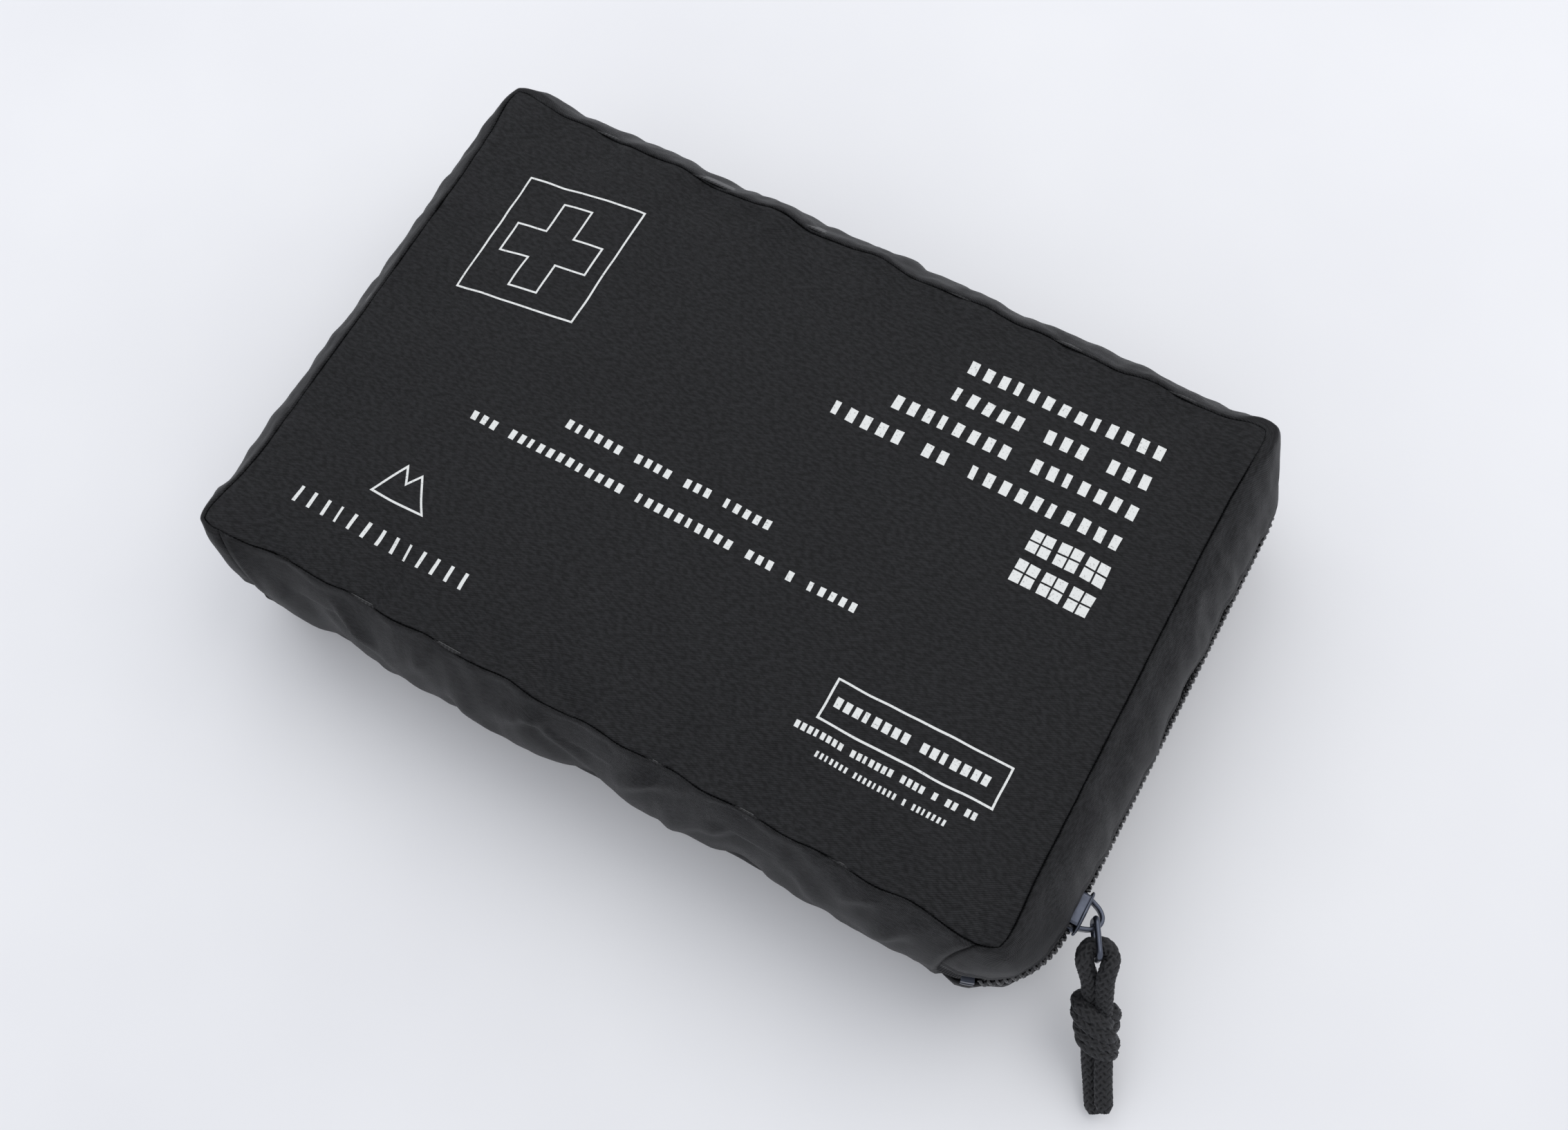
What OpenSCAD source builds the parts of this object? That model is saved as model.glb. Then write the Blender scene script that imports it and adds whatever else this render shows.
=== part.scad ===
// First aid kit: a soft fabric case that opens like a book, with its dressings inside.
// Millimetres. +X runs along the long side to the end where the zip slider parks,
// +Y runs from the fabric hinge to the back, +Z is up, and the case rests on z = 0.

/* [Case] */
// Length of the top panel, from end seam to end seam
case_l = 230; // [230:1:290]
// Depth of the top panel, from the hinge seam to the back seam
case_w = 150; // [150:1:190]
// Height from the resting face to the top panel
case_h = 60; // [60:1:80]
// Corner radius of the two panels
seam_r = 9; // [6:1:12]
// Corner radius at mid height, where the zip runs
mid_r = 24; // [18:1:28]
// How far the ends and the back swell past their seams
swell = 12.5; // [9:0.5:16]
// How far the hinge side swells past its seam
hinge_swell = 7; // [4:0.5:10]
// Thickness of the case wall, outer fabric and lining together
wall_t = 1.5; // [1:0.1:2]
// Width of the binding over the raw seam edges inside
binding_w = 7; // [5:0.5:10]
// Thickness of the seam binding
binding_t = 1.2; // [0.8:0.1:1.6]

/* [Zip] */
// Width of each zip tape
tape_w = 13; // [11:0.5:16]
// Thickness of each zip tape
tape_t = 0.6; // [0.4:0.1:0.8]
// Width of the tape that shows beside the chain, from the middle to the fabric fold
tape_reveal = 7; // [6:0.5:9]
// Width of one coil
coil_w = 2.1; // [1.8:0.1:2.4]
// Thickness of the coil
coil_t = 2.2; // [1.8:0.1:2.4]
// Half the lane between the two coils, which the slider's wedge runs in
lane = 1.1; // [1:0.05:1.3]
// Length of the slider
slider_l = 12; // [10:0.5:14]
// Width of the slider
slider_w = 9.4; // [9:0.1:10.5]
// Thickness of each slider plate
plate_t = 1.2; // [1:0.1:1.5]
// Running clearance of the slider around the tapes and coils
slider_gap = 0.4; // [0.3:0.05:0.6]
// Half the width of the slider's wedge
wedge_half = 0.8; // [0.6:0.05:0.9]

/* [Pull] */
// Diameter of the bail's wire
wire_d = 1.6; // [1.2:0.1:1.8]
// Length of the bail from its pin to its far bar
bail_l = 9.5; // [9:0.5:12]
// Width of the bail between its side bars' centres
bail_w = 7.6; // [7:0.2:9]
// Angle of the parked pull from the zip line
pull_angle = 31; // [25:1:60]
// Diameter of the braided cord
cord_d = 4.5; // [3.5:0.1:4.6]
// Radius of the knot
knot_r = 6; // [5.5:0.1:6.5]
// Length of the knot
knot_l = 18; // [15:0.5:20]

/* [Bandages] */
// Diameter of the fixation bandage rolls
roll_d = 26; // [22:0.5:26]
// Length of a wide roll
roll_wide = 78; // [70:1:78]
// Length of a narrow roll
roll_narrow = 58; // [50:1:58]
// Depth of the large dressing pack
large_w = 86; // [70:1:86]
// Length of the large dressing pack
large_l = 98; // [80:1:98]
// Length of a medium dressing pack
medium_l = 72; // [60:1:72]
// Depth of a medium dressing pack
medium_w = 42; // [36:1:42]
// Length of the small dressing pack
small_l = 76; // [60:1:76]
// Height of the dressing packs
dressing_h = 26; // [22:0.5:26]
// Diameter of the adhesive tape roll
tape_roll_d = 45; // [40:1:46]
// Diameter of the tape roll's core
core_d = 22; // [18:1:28]
// Width of the adhesive tape
tape_roll_h = 25; // [20:0.5:25.5]

/* [Flat packs] */
// Side of a square compress pack
compress_side = 104; // [100:1:104]
// Thickness of a compress pack
compress_t = 3.6; // [3:0.1:3.6]
// Length of a triangular bandage pack
triangle_l = 66; // [56:1:66]
// Depth of a triangular bandage pack
triangle_w = 48; // [40:1:50]
// Thickness of a triangular bandage pack
triangle_t = 3.4; // [2.5:0.1:3.4]
// Length of the sheet dressing pack
sheet_l = 108; // [90:1:108]
// Depth of the sheet dressing pack
sheet_w = 100; // [80:1:100]
// Thickness of the sheet dressing pack
sheet_t = 4.5; // [3:0.1:4.5]
// Depth of the rescue blanket pack
blanket_w = 90; // [80:1:100]
// Thickness of the rescue blanket pack
blanket_t = 6; // [5:0.1:6]
// Length of the glove pack
gloves_l = 100; // [90:1:108]
// Thickness of the glove pack
gloves_t = 9; // [7:0.5:10]
// Length of a mask pack
mask_l = 104; // [90:1:108]
// Thickness of a mask pack
mask_t = 3; // [2.5:0.1:4]
// Depth of the packs on top of the front rolls
strip_w = 33; // [28:1:35]
// Length of a wet wipe sachet
wipe_l = 44; // [38:1:45]
// Depth of a wet wipe sachet
wipe_w = 38; // [30:1:40]
// Thickness of a wet wipe sachet
wipe_t = 5; // [3:0.5:6]

/* [Scissors] */
// Thickness of each scissor half
blade_t = 1.6; // [1.2:0.1:1.6]
// Length of the blades from the rivet to the tips
blade_l = 60; // [50:1:62]
// Distance from the rivet to the middle of a finger ring
ring_reach = 72; // [64:1:74]
// Outer radius of a finger ring
ring_r = 13; // [12:0.5:14]
// Radius of the rivet's shank
rivet_r = 2; // [1.5:0.1:2.5]

/* [Lid pocket] */
// Length of the mesh pocket
pocket_l = 190; // [180:1:200]
// Depth of the mesh pocket
pocket_w = 118; // [114:1:124]
// Depth of the pocket under the top panel
pocket_h = 7.3; // [7:0.1:7.5]
// Thickness of the mesh
mesh_t = 0.8; // [0.6:0.1:1]
// Width of the elastic binding on the pocket's open edge
elastic_w = 9; // [6:0.5:12]
// Length of the instruction booklet
booklet_l = 148; // [120:1:160]
// Depth of the instruction booklet
booklet_w = 105; // [90:1:108]
// Thickness of the instruction booklet
booklet_t = 2.8; // [1.5:0.1:2.8]
// Length of the plaster set
plaster_l = 112; // [90:1:140]
// Depth of the plaster set
plaster_w = 78; // [60:1:90]
// Thickness of the plaster set
plaster_t = 2.6; // [1.5:0.1:2.6]

/* [Hidden] */
$fn = 48;

fit = 0.3;                 // gap between soft pieces that lie against each other
mid_z = case_h / 2;
arc_steps = 6;             // steps round each corner of the walls
fold_gap = 0.15;           // half the gap between the two halves of the fabric hinge

// Zip levels, measured outward from the wall's outer face
tape_out = -wall_t - fit;
tape_in = tape_out - tape_t;
coil_in = -wall_t;
coil_out = coil_in + coil_t;
tape_edge = lane;                      // from mid height to the tape's inner edge
coil_edge = lane + coil_w;
wall_x = case_l / 2 + swell;           // outer face of the right end at mid height
slider_y = -(case_w / 2 + hinge_swell - mid_r) + slider_l / 2;
inner_plate = tape_in - slider_gap - 0.1;
outer_plate = coil_out + slider_gap;
pin_out = outer_plate + plate_t + 2.4; // pin of the bail, from the wall's outer face
chain_gap = 1.2;                       // from the slider's ends to the coils
stop_start = 15;                       // degrees from the hinge where the end stops begin
stop_span = 10;                        // degrees of corner that an end stop covers

// Contents: where they may lie, inside the wall and its binding
side_gap = 3;
left = -(case_l / 2 - wall_t - side_gap);
right = -left;
front = -(case_w / 2 - wall_t - side_gap);
back = -front;
floor_z = wall_t + fit;
row_2 = front + roll_d + fit;
row_3 = row_2 + roll_d + fit;
layer_2 = floor_z + max(roll_d, dressing_h) + fit;
front_layer = floor_z + roll_d + fit;
stack_z = layer_2 + max(3 * (compress_t + fit), sheet_t + blanket_t + 2 * fit);
pivot = [24, -1];
pocket_z = case_h - wall_t - pocket_h;
pocket_in_z = pocket_z + mesh_t + fit;

// Cord route from the bail: along the pull, across it, and up from the resting face
cord_route = [
    [6.3, 0.1, 30], [6.4, 1.5, 29.9], [7.6, 2.8, 29.6], [9.5, 3.3, 29], [12, 2.9, 27.6],
    [16, 2.5, 24], [20, 2.3, 19.5], [24, 2.3, 15.5], [28, 2.3, 12.5], [33, 2.5, 9.5],
    [38, 2.7, 7], [42, 2.6, 5.5], [45, 2.4, 4.8]
];
knot_at = [24.5, 0, 15.2];
knot_dip = 35;             // degrees that the knot tilts down

// How much of the full swell the wall has at height z
function bulge(z) = pow(max(0, 1 - pow((z - mid_z) / mid_z, 2)), 0.75);

// Half sizes and corner radius of the wall's outline at height z, moved out by off
function end_half(z, off) = case_l / 2 + swell * bulge(z) + off;
function back_half(z, off) = case_w / 2 + swell * bulge(z) + off;
function hinge_half(z, off) = case_w / 2 + hinge_swell * bulge(z) + off;
function corner_r(z, off) = seam_r + (mid_r - seam_r) * bulge(z) + off;

// A station is [corner, angle], with corners counted from the hinge side of the right
// end, or [y] for a place on the right end's straight stretch
function corner_centre(k, z, off) =
    let (r = corner_r(z, off), ex = end_half(z, off) - r)
    [k < 2 ? ex : -ex, k == 1 || k == 2 ? back_half(z, off) - r : r - hinge_half(z, off)];
function place(s, z, off) = len(s) == 1 ? [end_half(z, off), s[0], z] :
    let (c = corner_centre(s[0], z, off), r = corner_r(z, off))
    [c.x + r * cos(s[1]), c.y + r * sin(s[1]), z];
function arc(k, from = 0, to = 90) = [
    for (i = [0 : arc_steps]) [k, 90 * k - 90 + from + (to - from) * i / arc_steps]
];
function spread(a, b, n) = [for (i = [0 : n]) a + (b - a) * i / n];

zip_run = concat(arc(0), arc(1), arc(2), arc(3));
hinge_run = [[3, 270], [0, -90]];
coil_run = concat([[slider_y + slider_l / 2 + chain_gap]], arc(1), arc(2), arc(3, 0, 2));
free_coil_run = concat(arc(0, stop_start + stop_span), [[slider_y - slider_l / 2 - fit]]);
low_levels = concat([wall_t], spread(4, mid_z - tape_reveal, 5));
high_levels = [for (i = [len(low_levels) - 1 : -1 : 0]) case_h - low_levels[i]];

// Upright wall along stations: outer face at off_out, inner face at off_in
module band(stations, levels, off_out, off_in, closed = false) {
    m = len(levels);
    n = len(stations);
    ring = 2 * m;
    points = [
        for (s = stations) each concat(
            [for (z = levels) place(s, z, off_out)],
            [for (j = [m - 1 : -1 : 0]) place(s, levels[j], off_in)])
    ];
    sides = [
        for (i = [0 : closed ? n - 1 : n - 2], j = [0 : ring - 1])
            let (a = i * ring + j, b = i * ring + (j + 1) % ring, step = ((i + 1) % n - i) * ring)
            each [[a, b, b + step], [a, b + step, a + step]]
    ];
    start = [
        for (j = [0 : m - 2]) let (c = ring - 2 - j) each [[j, c, j + 1], [j, c + 1, c]]
    ];
    end = [
        for (j = [0 : m - 2]) let (a = (n - 1) * ring + j, c = (n - 1) * ring + ring - 2 - j)
            each [[a, a + 1, c], [a, c, c + 1]]
    ];
    polyhedron(points, closed ? sides : concat(sides, start, end));
}

// Flat plate with round corners, centred on x and y
module round_plate(l, w, r, t) {
    translate([-l / 2 + r, -w / 2, 0]) cube([l - 2 * r, w, t]);
    translate([-l / 2, -w / 2 + r, 0]) cube([l, w - 2 * r, t]);
    for (x = [-1, 1], y = [-1, 1])
        translate([x * (l / 2 - r), y * (w / 2 - r), 0]) cylinder(r = r, h = t);
}

// Flat pack whose lowest corner is at [x, y, z]
module pack(x, y, z, l, w, t, r = 3) {
    translate([x + l / 2, y + w / 2, z]) round_plate(l, w, r, t);
}

// Bandage roll lying along X with its lowest corner at [x, y]
module roll(x, y, l) {
    translate([x, y + roll_d / 2, floor_z + roll_d / 2]) rotate([0, 90, 0])
        cylinder(d = roll_d, h = l);
}

// ---- Case, lower half ----
module base_panel() {
    color("#1c1c1f") round_plate(case_l, case_w, seam_r, wall_t);
}

module base_gusset() {
    color("#202024") band(zip_run, low_levels, 0, -wall_t);
}

module hinge_wall(levels) {
    band(hinge_run, levels, 0, -wall_t);
}

module hinge_gusset_lower() {
    color("#242428") hinge_wall(concat(low_levels, [mid_z - fold_gap]));
}

module seam_binding(z) {
    color("#101012")
        band(zip_run, [z, z + binding_w / 2, z + binding_w], -wall_t - fit,
            -wall_t - fit - binding_t, closed = true);
}

module base_seam_binding() {
    seam_binding(floor_z);
}

// ---- Zip ----
module zip_tape(side) {
    inner = mid_z + side * tape_edge;
    outer = mid_z + side * tape_w;
    color("#17171a")
        band(zip_run, spread(min(inner, outer), max(inner, outer), 3), tape_out, tape_in);
}

module coil_piece(run, side) {
    band(run, spread(mid_z + min(side * lane, side * coil_edge),
        mid_z + max(side * lane, side * coil_edge), 1), coil_out, coil_in);
}

module zip_coil(side) {
    color("#0c0c0e") {
        coil_piece(coil_run, side);
        coil_piece(free_coil_run, side);
    }
}

module zip_stop(side) {
    color("#3a3d44") coil_piece(arc(0, stop_start, stop_start + stop_span - 2), side);
}

module base_zip_tape() {
    zip_tape(-1);
}

module base_zip_coil() {
    zip_coil(-1);
}

module base_zip_stop() {
    zip_stop(-1);
}

// The clamp that joins both chains at their far end, on the left end of the case
module zip_bottom_stop() {
    color("#3a3d44")
        band(arc(3, 4, 12), [mid_z - coil_edge, mid_z + coil_edge], coil_out, coil_in);
}

module slider_body() {
    color("#4a4d56") translate([wall_x, slider_y, mid_z]) {
        for (u = [inner_plate - plate_t, outer_plate])
            translate([u, 0, 0]) rotate([0, 90, 0])
                round_plate(slider_w, slider_l, 2, plate_t);
        for (s = [-1, 1])
            translate([tape_out + slider_gap, -slider_l / 2 + 2, s * (slider_w / 2 - 0.4) - 0.4])
                cube([outer_plate - tape_out - slider_gap, slider_l - 4, 0.8]);
        translate([inner_plate, -slider_l / 2 + 0.5, -wedge_half])
            cube([outer_plate - inner_plate, 3, 2 * wedge_half]);
    }
}

module slider_bridge() {
    color("#50545e") translate([wall_x, slider_y, mid_z - 1.3]) linear_extrude(2.6)
        difference() {
            union() {
                translate([outer_plate + plate_t, -4]) square([1, 8]);
                translate([outer_plate + plate_t, -2.2]) square([2.4, 4.4]);
                translate([pin_out, 0]) circle(r = 2.2);
            }
            translate([pin_out, 0]) circle(r = wire_d / 2 + 0.08);
        }
}

// ---- Pull: its own frame runs along the cord from the bail's pin ----
module at_pull() {
    translate([wall_x + pin_out, slider_y, 0]) rotate([0, 0, pull_angle - 90]) children();
}

module pull_bail() {
    color("#5a5e68") at_pull() translate([0, 0, mid_z]) {
        for (x = [0, bail_l]) {
            translate([x, 0, -bail_w / 2]) cylinder(d = wire_d, h = bail_w);
            for (z = [-1, 1]) translate([x, 0, z * bail_w / 2]) sphere(d = wire_d);
        }
        for (z = [-1, 1]) translate([0, 0, z * bail_w / 2]) rotate([0, 90, 0])
            cylinder(d = wire_d, h = bail_l);
    }
}

// Round tube through its route's points, with one ring at each point
module tube(route, d, sides = 8) {
    n = len(route);
    points = [
        for (i = [0 : n - 1])
            let (t = route[min(i + 1, n - 1)] - route[max(i - 1, 0)],
                a = cross(t, [0, 0, 1]), u = a / norm(a), v = cross(u, t) / norm(t))
            for (k = [0 : sides - 1])
                route[i] + d / 2 * (u * cos(360 * k / sides) + v * sin(360 * k / sides))
    ];
    walls = [
        for (i = [0 : n - 2], k = [0 : sides - 1])
            let (a = i * sides + k, b = i * sides + (k + 1) % sides)
            each [[a, b, b + sides], [a, b + sides, a + sides]]
    ];
    start = [for (k = [1 : sides - 2]) [0, k + 1, k]];
    end = [for (k = [1 : sides - 2]) (n - 1) * sides * [1, 1, 1] + [0, k, k + 1]];
    polyhedron(points, concat(walls, start, end));
}

module cord_strand(side) {
    lift = mid_z - cord_route[0].z;
    route = [for (p = cord_route) [p.x, side * p.y, p.z + lift]];
    color("#111113") at_pull() tube(route, cord_d);
}

module pull_cord_left() {
    cord_strand(-1);
}

module pull_cord_right() {
    cord_strand(1);
}

module pull_knot() {
    half = knot_l / 2 - knot_r;
    color("#151517") at_pull() translate(knot_at + [0, 0, mid_z - cord_route[0].z])
        rotate([0, knot_dip, 0]) hull()
            for (x = [-half, half]) translate([x, 0, 0]) sphere(r = knot_r, $fn = 24);
}

// ---- Contents in the lower half ----
module bandage_rolls_wide() {
    color("#f1efe8") {
        roll(left, front, roll_wide);
        roll(left + roll_wide + 1, front, roll_wide);
        roll(left, row_2, roll_wide);
    }
}

module bandage_rolls_narrow() {
    color("#f4f2ec") {
        roll(left + 2 * roll_wide + 2, front, roll_narrow);
        roll(left + roll_wide + 1, row_2, roll_narrow);
    }
}

module dressing_pack_small() {
    color("#e9ebe9")
        pack(left + roll_wide + roll_narrow + 2, row_2, floor_z, small_l, roll_d, roll_d);
}

module dressing_pack_large() {
    color("#e4e9ea") pack(left + tape_roll_d + 2, row_3, floor_z, large_l, large_w, dressing_h);
}

module dressing_packs_medium() {
    color("#e6ece8") for (i = [0, 1])
        pack(left + tape_roll_d + large_l + 3, row_3 + i * (medium_w + 1), floor_z,
            medium_l, medium_w, dressing_h);
}

module on_tape_roll() {
    translate([left + tape_roll_d / 2, back - tape_roll_d / 2, floor_z]) children();
}

module adhesive_tape_core() {
    color("#d8dadc") on_tape_roll() difference() {
        cylinder(d = core_d, h = tape_roll_h);
        translate([0, 0, -1]) cylinder(d = core_d - 3, h = tape_roll_h + 2);
    }
}

module adhesive_tape_roll() {
    color("#ead9c4") on_tape_roll() difference() {
        cylinder(d = tape_roll_d, h = tape_roll_h);
        translate([0, 0, -1]) cylinder(d = core_d + 0.1, h = tape_roll_h + 2);
    }
}

module wet_wipes() {
    color("#dfe8ee") for (i = [0, 1])
        pack(left, row_3, floor_z + i * (wipe_t + fit), wipe_l, wipe_w, wipe_t);
}

module compress_packs() {
    color("#edf0f2") for (i = [0 : 2])
        pack(left, back - compress_side, layer_2 + i * (compress_t + fit),
            compress_side, compress_side, compress_t);
}

module triangular_bandages() {
    color("#e8ebe4") for (i = [0, 1])
        pack(left, back - triangle_w - i * (triangle_w + 1), stack_z, triangle_l, triangle_w,
            triangle_t);
}

module sheet_dressing() {
    color("#dbe6ea") pack(right - sheet_l, back - sheet_w, layer_2, sheet_l, sheet_w, sheet_t);
}

module rescue_blanket() {
    color("#c9a84a")
        pack(right - sheet_l, back - blanket_w, layer_2 + sheet_t + fit, sheet_l, blanket_w,
            blanket_t);
}

module gloves_pack() {
    color("#c6d6e2") pack(left, front, front_layer, gloves_l, strip_w, gloves_t);
}

module mask_packs() {
    color("#d6e4ee") for (i = [0, 1])
        pack(right - mask_l, front, front_layer + i * (mask_t + fit), mask_l, strip_w, mask_t);
}

// One scissor half in its own plane: the blade runs to -X, the finger ring sits to +X
module scissor_half(side) {
    ring_y = side * (ring_r + 1);
    difference() {
        union() {
            linear_extrude(blade_t) polygon([
                [-blade_l, side * -1.2], [-blade_l, side * 1.2], [-blade_l + 8, side * 4],
                [3, side * 5.5], [3, side * -4]
            ]);
            cylinder(r = 6.6, h = blade_t);
            linear_extrude(blade_t) polygon([
                [-2, side * -5], [ring_reach - 10, ring_y - side * (ring_r - 1.5)],
                [ring_reach - 10, ring_y], [-2, side * 4.5]
            ]);
            translate([ring_reach, ring_y, 0]) cylinder(r = ring_r, h = blade_t);
        }
        translate([0, 0, -1]) cylinder(r = rivet_r + 0.05, h = blade_t + 2);
        translate([ring_reach, ring_y, -1]) cylinder(r = ring_r - 4, h = blade_t + 2);
    }
}

module at_pivot(z) {
    translate([pivot.x, pivot.y, stack_z + z]) children();
}

module scissors_lower_half() {
    color("#a9adb3") at_pivot(0) scissor_half(-1);
}

module scissors_upper_half() {
    color("#b4b8be") at_pivot(blade_t + fit) scissor_half(1);
}

module scissors_rivet() {
    color("#8d9197") at_pivot(0) {
        cylinder(r = rivet_r, h = 2 * blade_t + 2 * fit);
        translate([0, 0, 2 * blade_t + 2 * fit]) cylinder(r = rivet_r + 1.6, h = 0.8);
    }
}

// ---- Case, upper half ----
module lid_panel() {
    color("#1c1c1f") translate([0, 0, case_h - wall_t])
        round_plate(case_l, case_w, seam_r, wall_t);
}

module lid_gusset() {
    color("#202024") band(zip_run, high_levels, 0, -wall_t);
}

module hinge_gusset_upper() {
    color("#242428") hinge_wall(concat([mid_z + fold_gap], high_levels));
}

module lid_seam_binding() {
    seam_binding(case_h - floor_z - binding_w);
}

module lid_zip_tape() {
    zip_tape(1);
}

module lid_zip_coil() {
    zip_coil(1);
}

module lid_zip_stop() {
    zip_stop(1);
}

// Mesh tray sewn under the top panel on three sides and open towards the back
module mesh_pocket() {
    color("#2c2c30") translate([-pocket_l / 2, -pocket_w / 2, pocket_z]) difference() {
        cube([pocket_l, pocket_w, pocket_h]);
        translate([mesh_t, mesh_t, mesh_t]) cube([pocket_l - 2 * mesh_t, pocket_w, pocket_h]);
    }
}

module pocket_elastic() {
    color("#0f0f11") translate([-pocket_l / 2, pocket_w / 2, pocket_z])
        cube([pocket_l, elastic_w, 1.5 * mesh_t]);
}

module plaster_set() {
    color("#e9dcc6")
        pack(-pocket_l / 2 + 6, -plaster_w / 2, pocket_in_z, plaster_l, plaster_w, plaster_t);
}

module booklet() {
    color("#f3f3f0")
        pack(-booklet_l / 2, -booklet_w / 2, pocket_in_z + plaster_t + fit, booklet_l,
            booklet_w, booklet_t, 1);
}

base_panel();
base_gusset();
hinge_gusset_lower();
base_seam_binding();
base_zip_tape();
base_zip_coil();
base_zip_stop();
zip_bottom_stop();
bandage_rolls_wide();
bandage_rolls_narrow();
dressing_pack_large();
dressing_packs_medium();
dressing_pack_small();
adhesive_tape_core();
adhesive_tape_roll();
wet_wipes();
compress_packs();
triangular_bandages();
sheet_dressing();
rescue_blanket();
gloves_pack();
mask_packs();
scissors_lower_half();
scissors_rivet();
scissors_upper_half();
lid_panel();
lid_gusset();
hinge_gusset_upper();
lid_seam_binding();
lid_zip_tape();
lid_zip_coil();
lid_zip_stop();
mesh_pocket();
pocket_elastic();
booklet();
plaster_set();
slider_body();
slider_bridge();
pull_bail();
pull_cord_left();
pull_cord_right();
pull_knot();
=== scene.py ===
"""A soft first aid case and its contents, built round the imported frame. Metres."""

from math import ceil, cos, pi, radians, sin, tau

import bpy
import numpy as np
from mathutils import Matrix, Vector, noise


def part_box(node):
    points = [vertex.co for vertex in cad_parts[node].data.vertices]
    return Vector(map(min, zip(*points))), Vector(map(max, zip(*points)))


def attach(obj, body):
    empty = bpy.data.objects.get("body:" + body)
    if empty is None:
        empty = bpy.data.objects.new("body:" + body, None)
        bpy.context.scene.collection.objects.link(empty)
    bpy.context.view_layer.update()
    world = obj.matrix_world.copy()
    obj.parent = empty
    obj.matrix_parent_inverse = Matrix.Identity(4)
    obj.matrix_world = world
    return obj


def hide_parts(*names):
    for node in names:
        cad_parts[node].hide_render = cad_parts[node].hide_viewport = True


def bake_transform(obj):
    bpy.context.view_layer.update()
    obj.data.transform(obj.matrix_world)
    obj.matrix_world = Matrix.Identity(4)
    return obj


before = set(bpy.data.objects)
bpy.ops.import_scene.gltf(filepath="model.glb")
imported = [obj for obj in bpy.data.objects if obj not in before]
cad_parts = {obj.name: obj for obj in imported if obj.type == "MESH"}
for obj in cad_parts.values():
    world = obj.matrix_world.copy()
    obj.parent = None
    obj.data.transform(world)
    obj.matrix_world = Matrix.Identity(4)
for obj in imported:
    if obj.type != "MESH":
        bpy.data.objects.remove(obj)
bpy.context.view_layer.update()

MM = 0.001
scene = bpy.context.scene


# ---- Camera, light and floor ----
LENS_MM, SENSOR_MM = 37.27, 36
CAMERA_AT = (0.11338, -0.13124, 0.44462)
CAMERA_RIGHT, CAMERA_UP = (0.8696, 0.4907, -0.0540), (-0.4434, 0.8245, 0.3516)
CASE_MIDDLE = (0, 0, 0.03)
# Each lamp's place, size, power and colour
LAMPS = {
    "window": ((0.35, 0.45, 1.05), 0.8, 2.3, (1.0, 0.99, 0.97)),
    "fill": ((-0.5, 0.35, 1.0), 0.9, 2.2, (0.95, 0.97, 1.0)),
}


def add_camera():
    """A camera above the front right corner of the case, rolled as a hand-held one is."""
    data = bpy.data.cameras.new("camera")
    data.lens = LENS_MM
    data.sensor_width = SENSOR_MM
    data.clip_start = 0.01
    camera = bpy.data.objects.new("camera", data)
    right = Vector(CAMERA_RIGHT).normalized()
    back = right.cross(Vector(CAMERA_UP)).normalized()
    turn = Matrix((right, back.cross(right), back)).transposed().to_4x4()
    camera.matrix_world = Matrix.Translation(CAMERA_AT) @ turn
    scene.collection.objects.link(camera)
    scene.camera = camera


def add_lamp(name, at, size, watts, colour):
    data = bpy.data.lights.new(name, "AREA")
    data.shape = "DISK"
    data.size = size
    data.energy = watts
    data.color = colour
    lamp = bpy.data.objects.new(name, data)
    lamp.location = at
    lamp.rotation_euler = (Vector(CASE_MIDDLE) - Vector(at)).to_track_quat("-Z", "Y").to_euler()
    scene.collection.objects.link(lamp)


def add_studio():
    world = bpy.data.worlds.new("studio")
    world.use_nodes = True
    sky = world.node_tree.nodes["Background"]
    sky.inputs["Color"].default_value = (0.93, 0.95, 1.0, 1)
    sky.inputs["Strength"].default_value = 0.83
    scene.world = world
    scene.view_settings.view_transform = "Standard"
    for name, lamp in LAMPS.items():
        add_lamp(name, *lamp)


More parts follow.
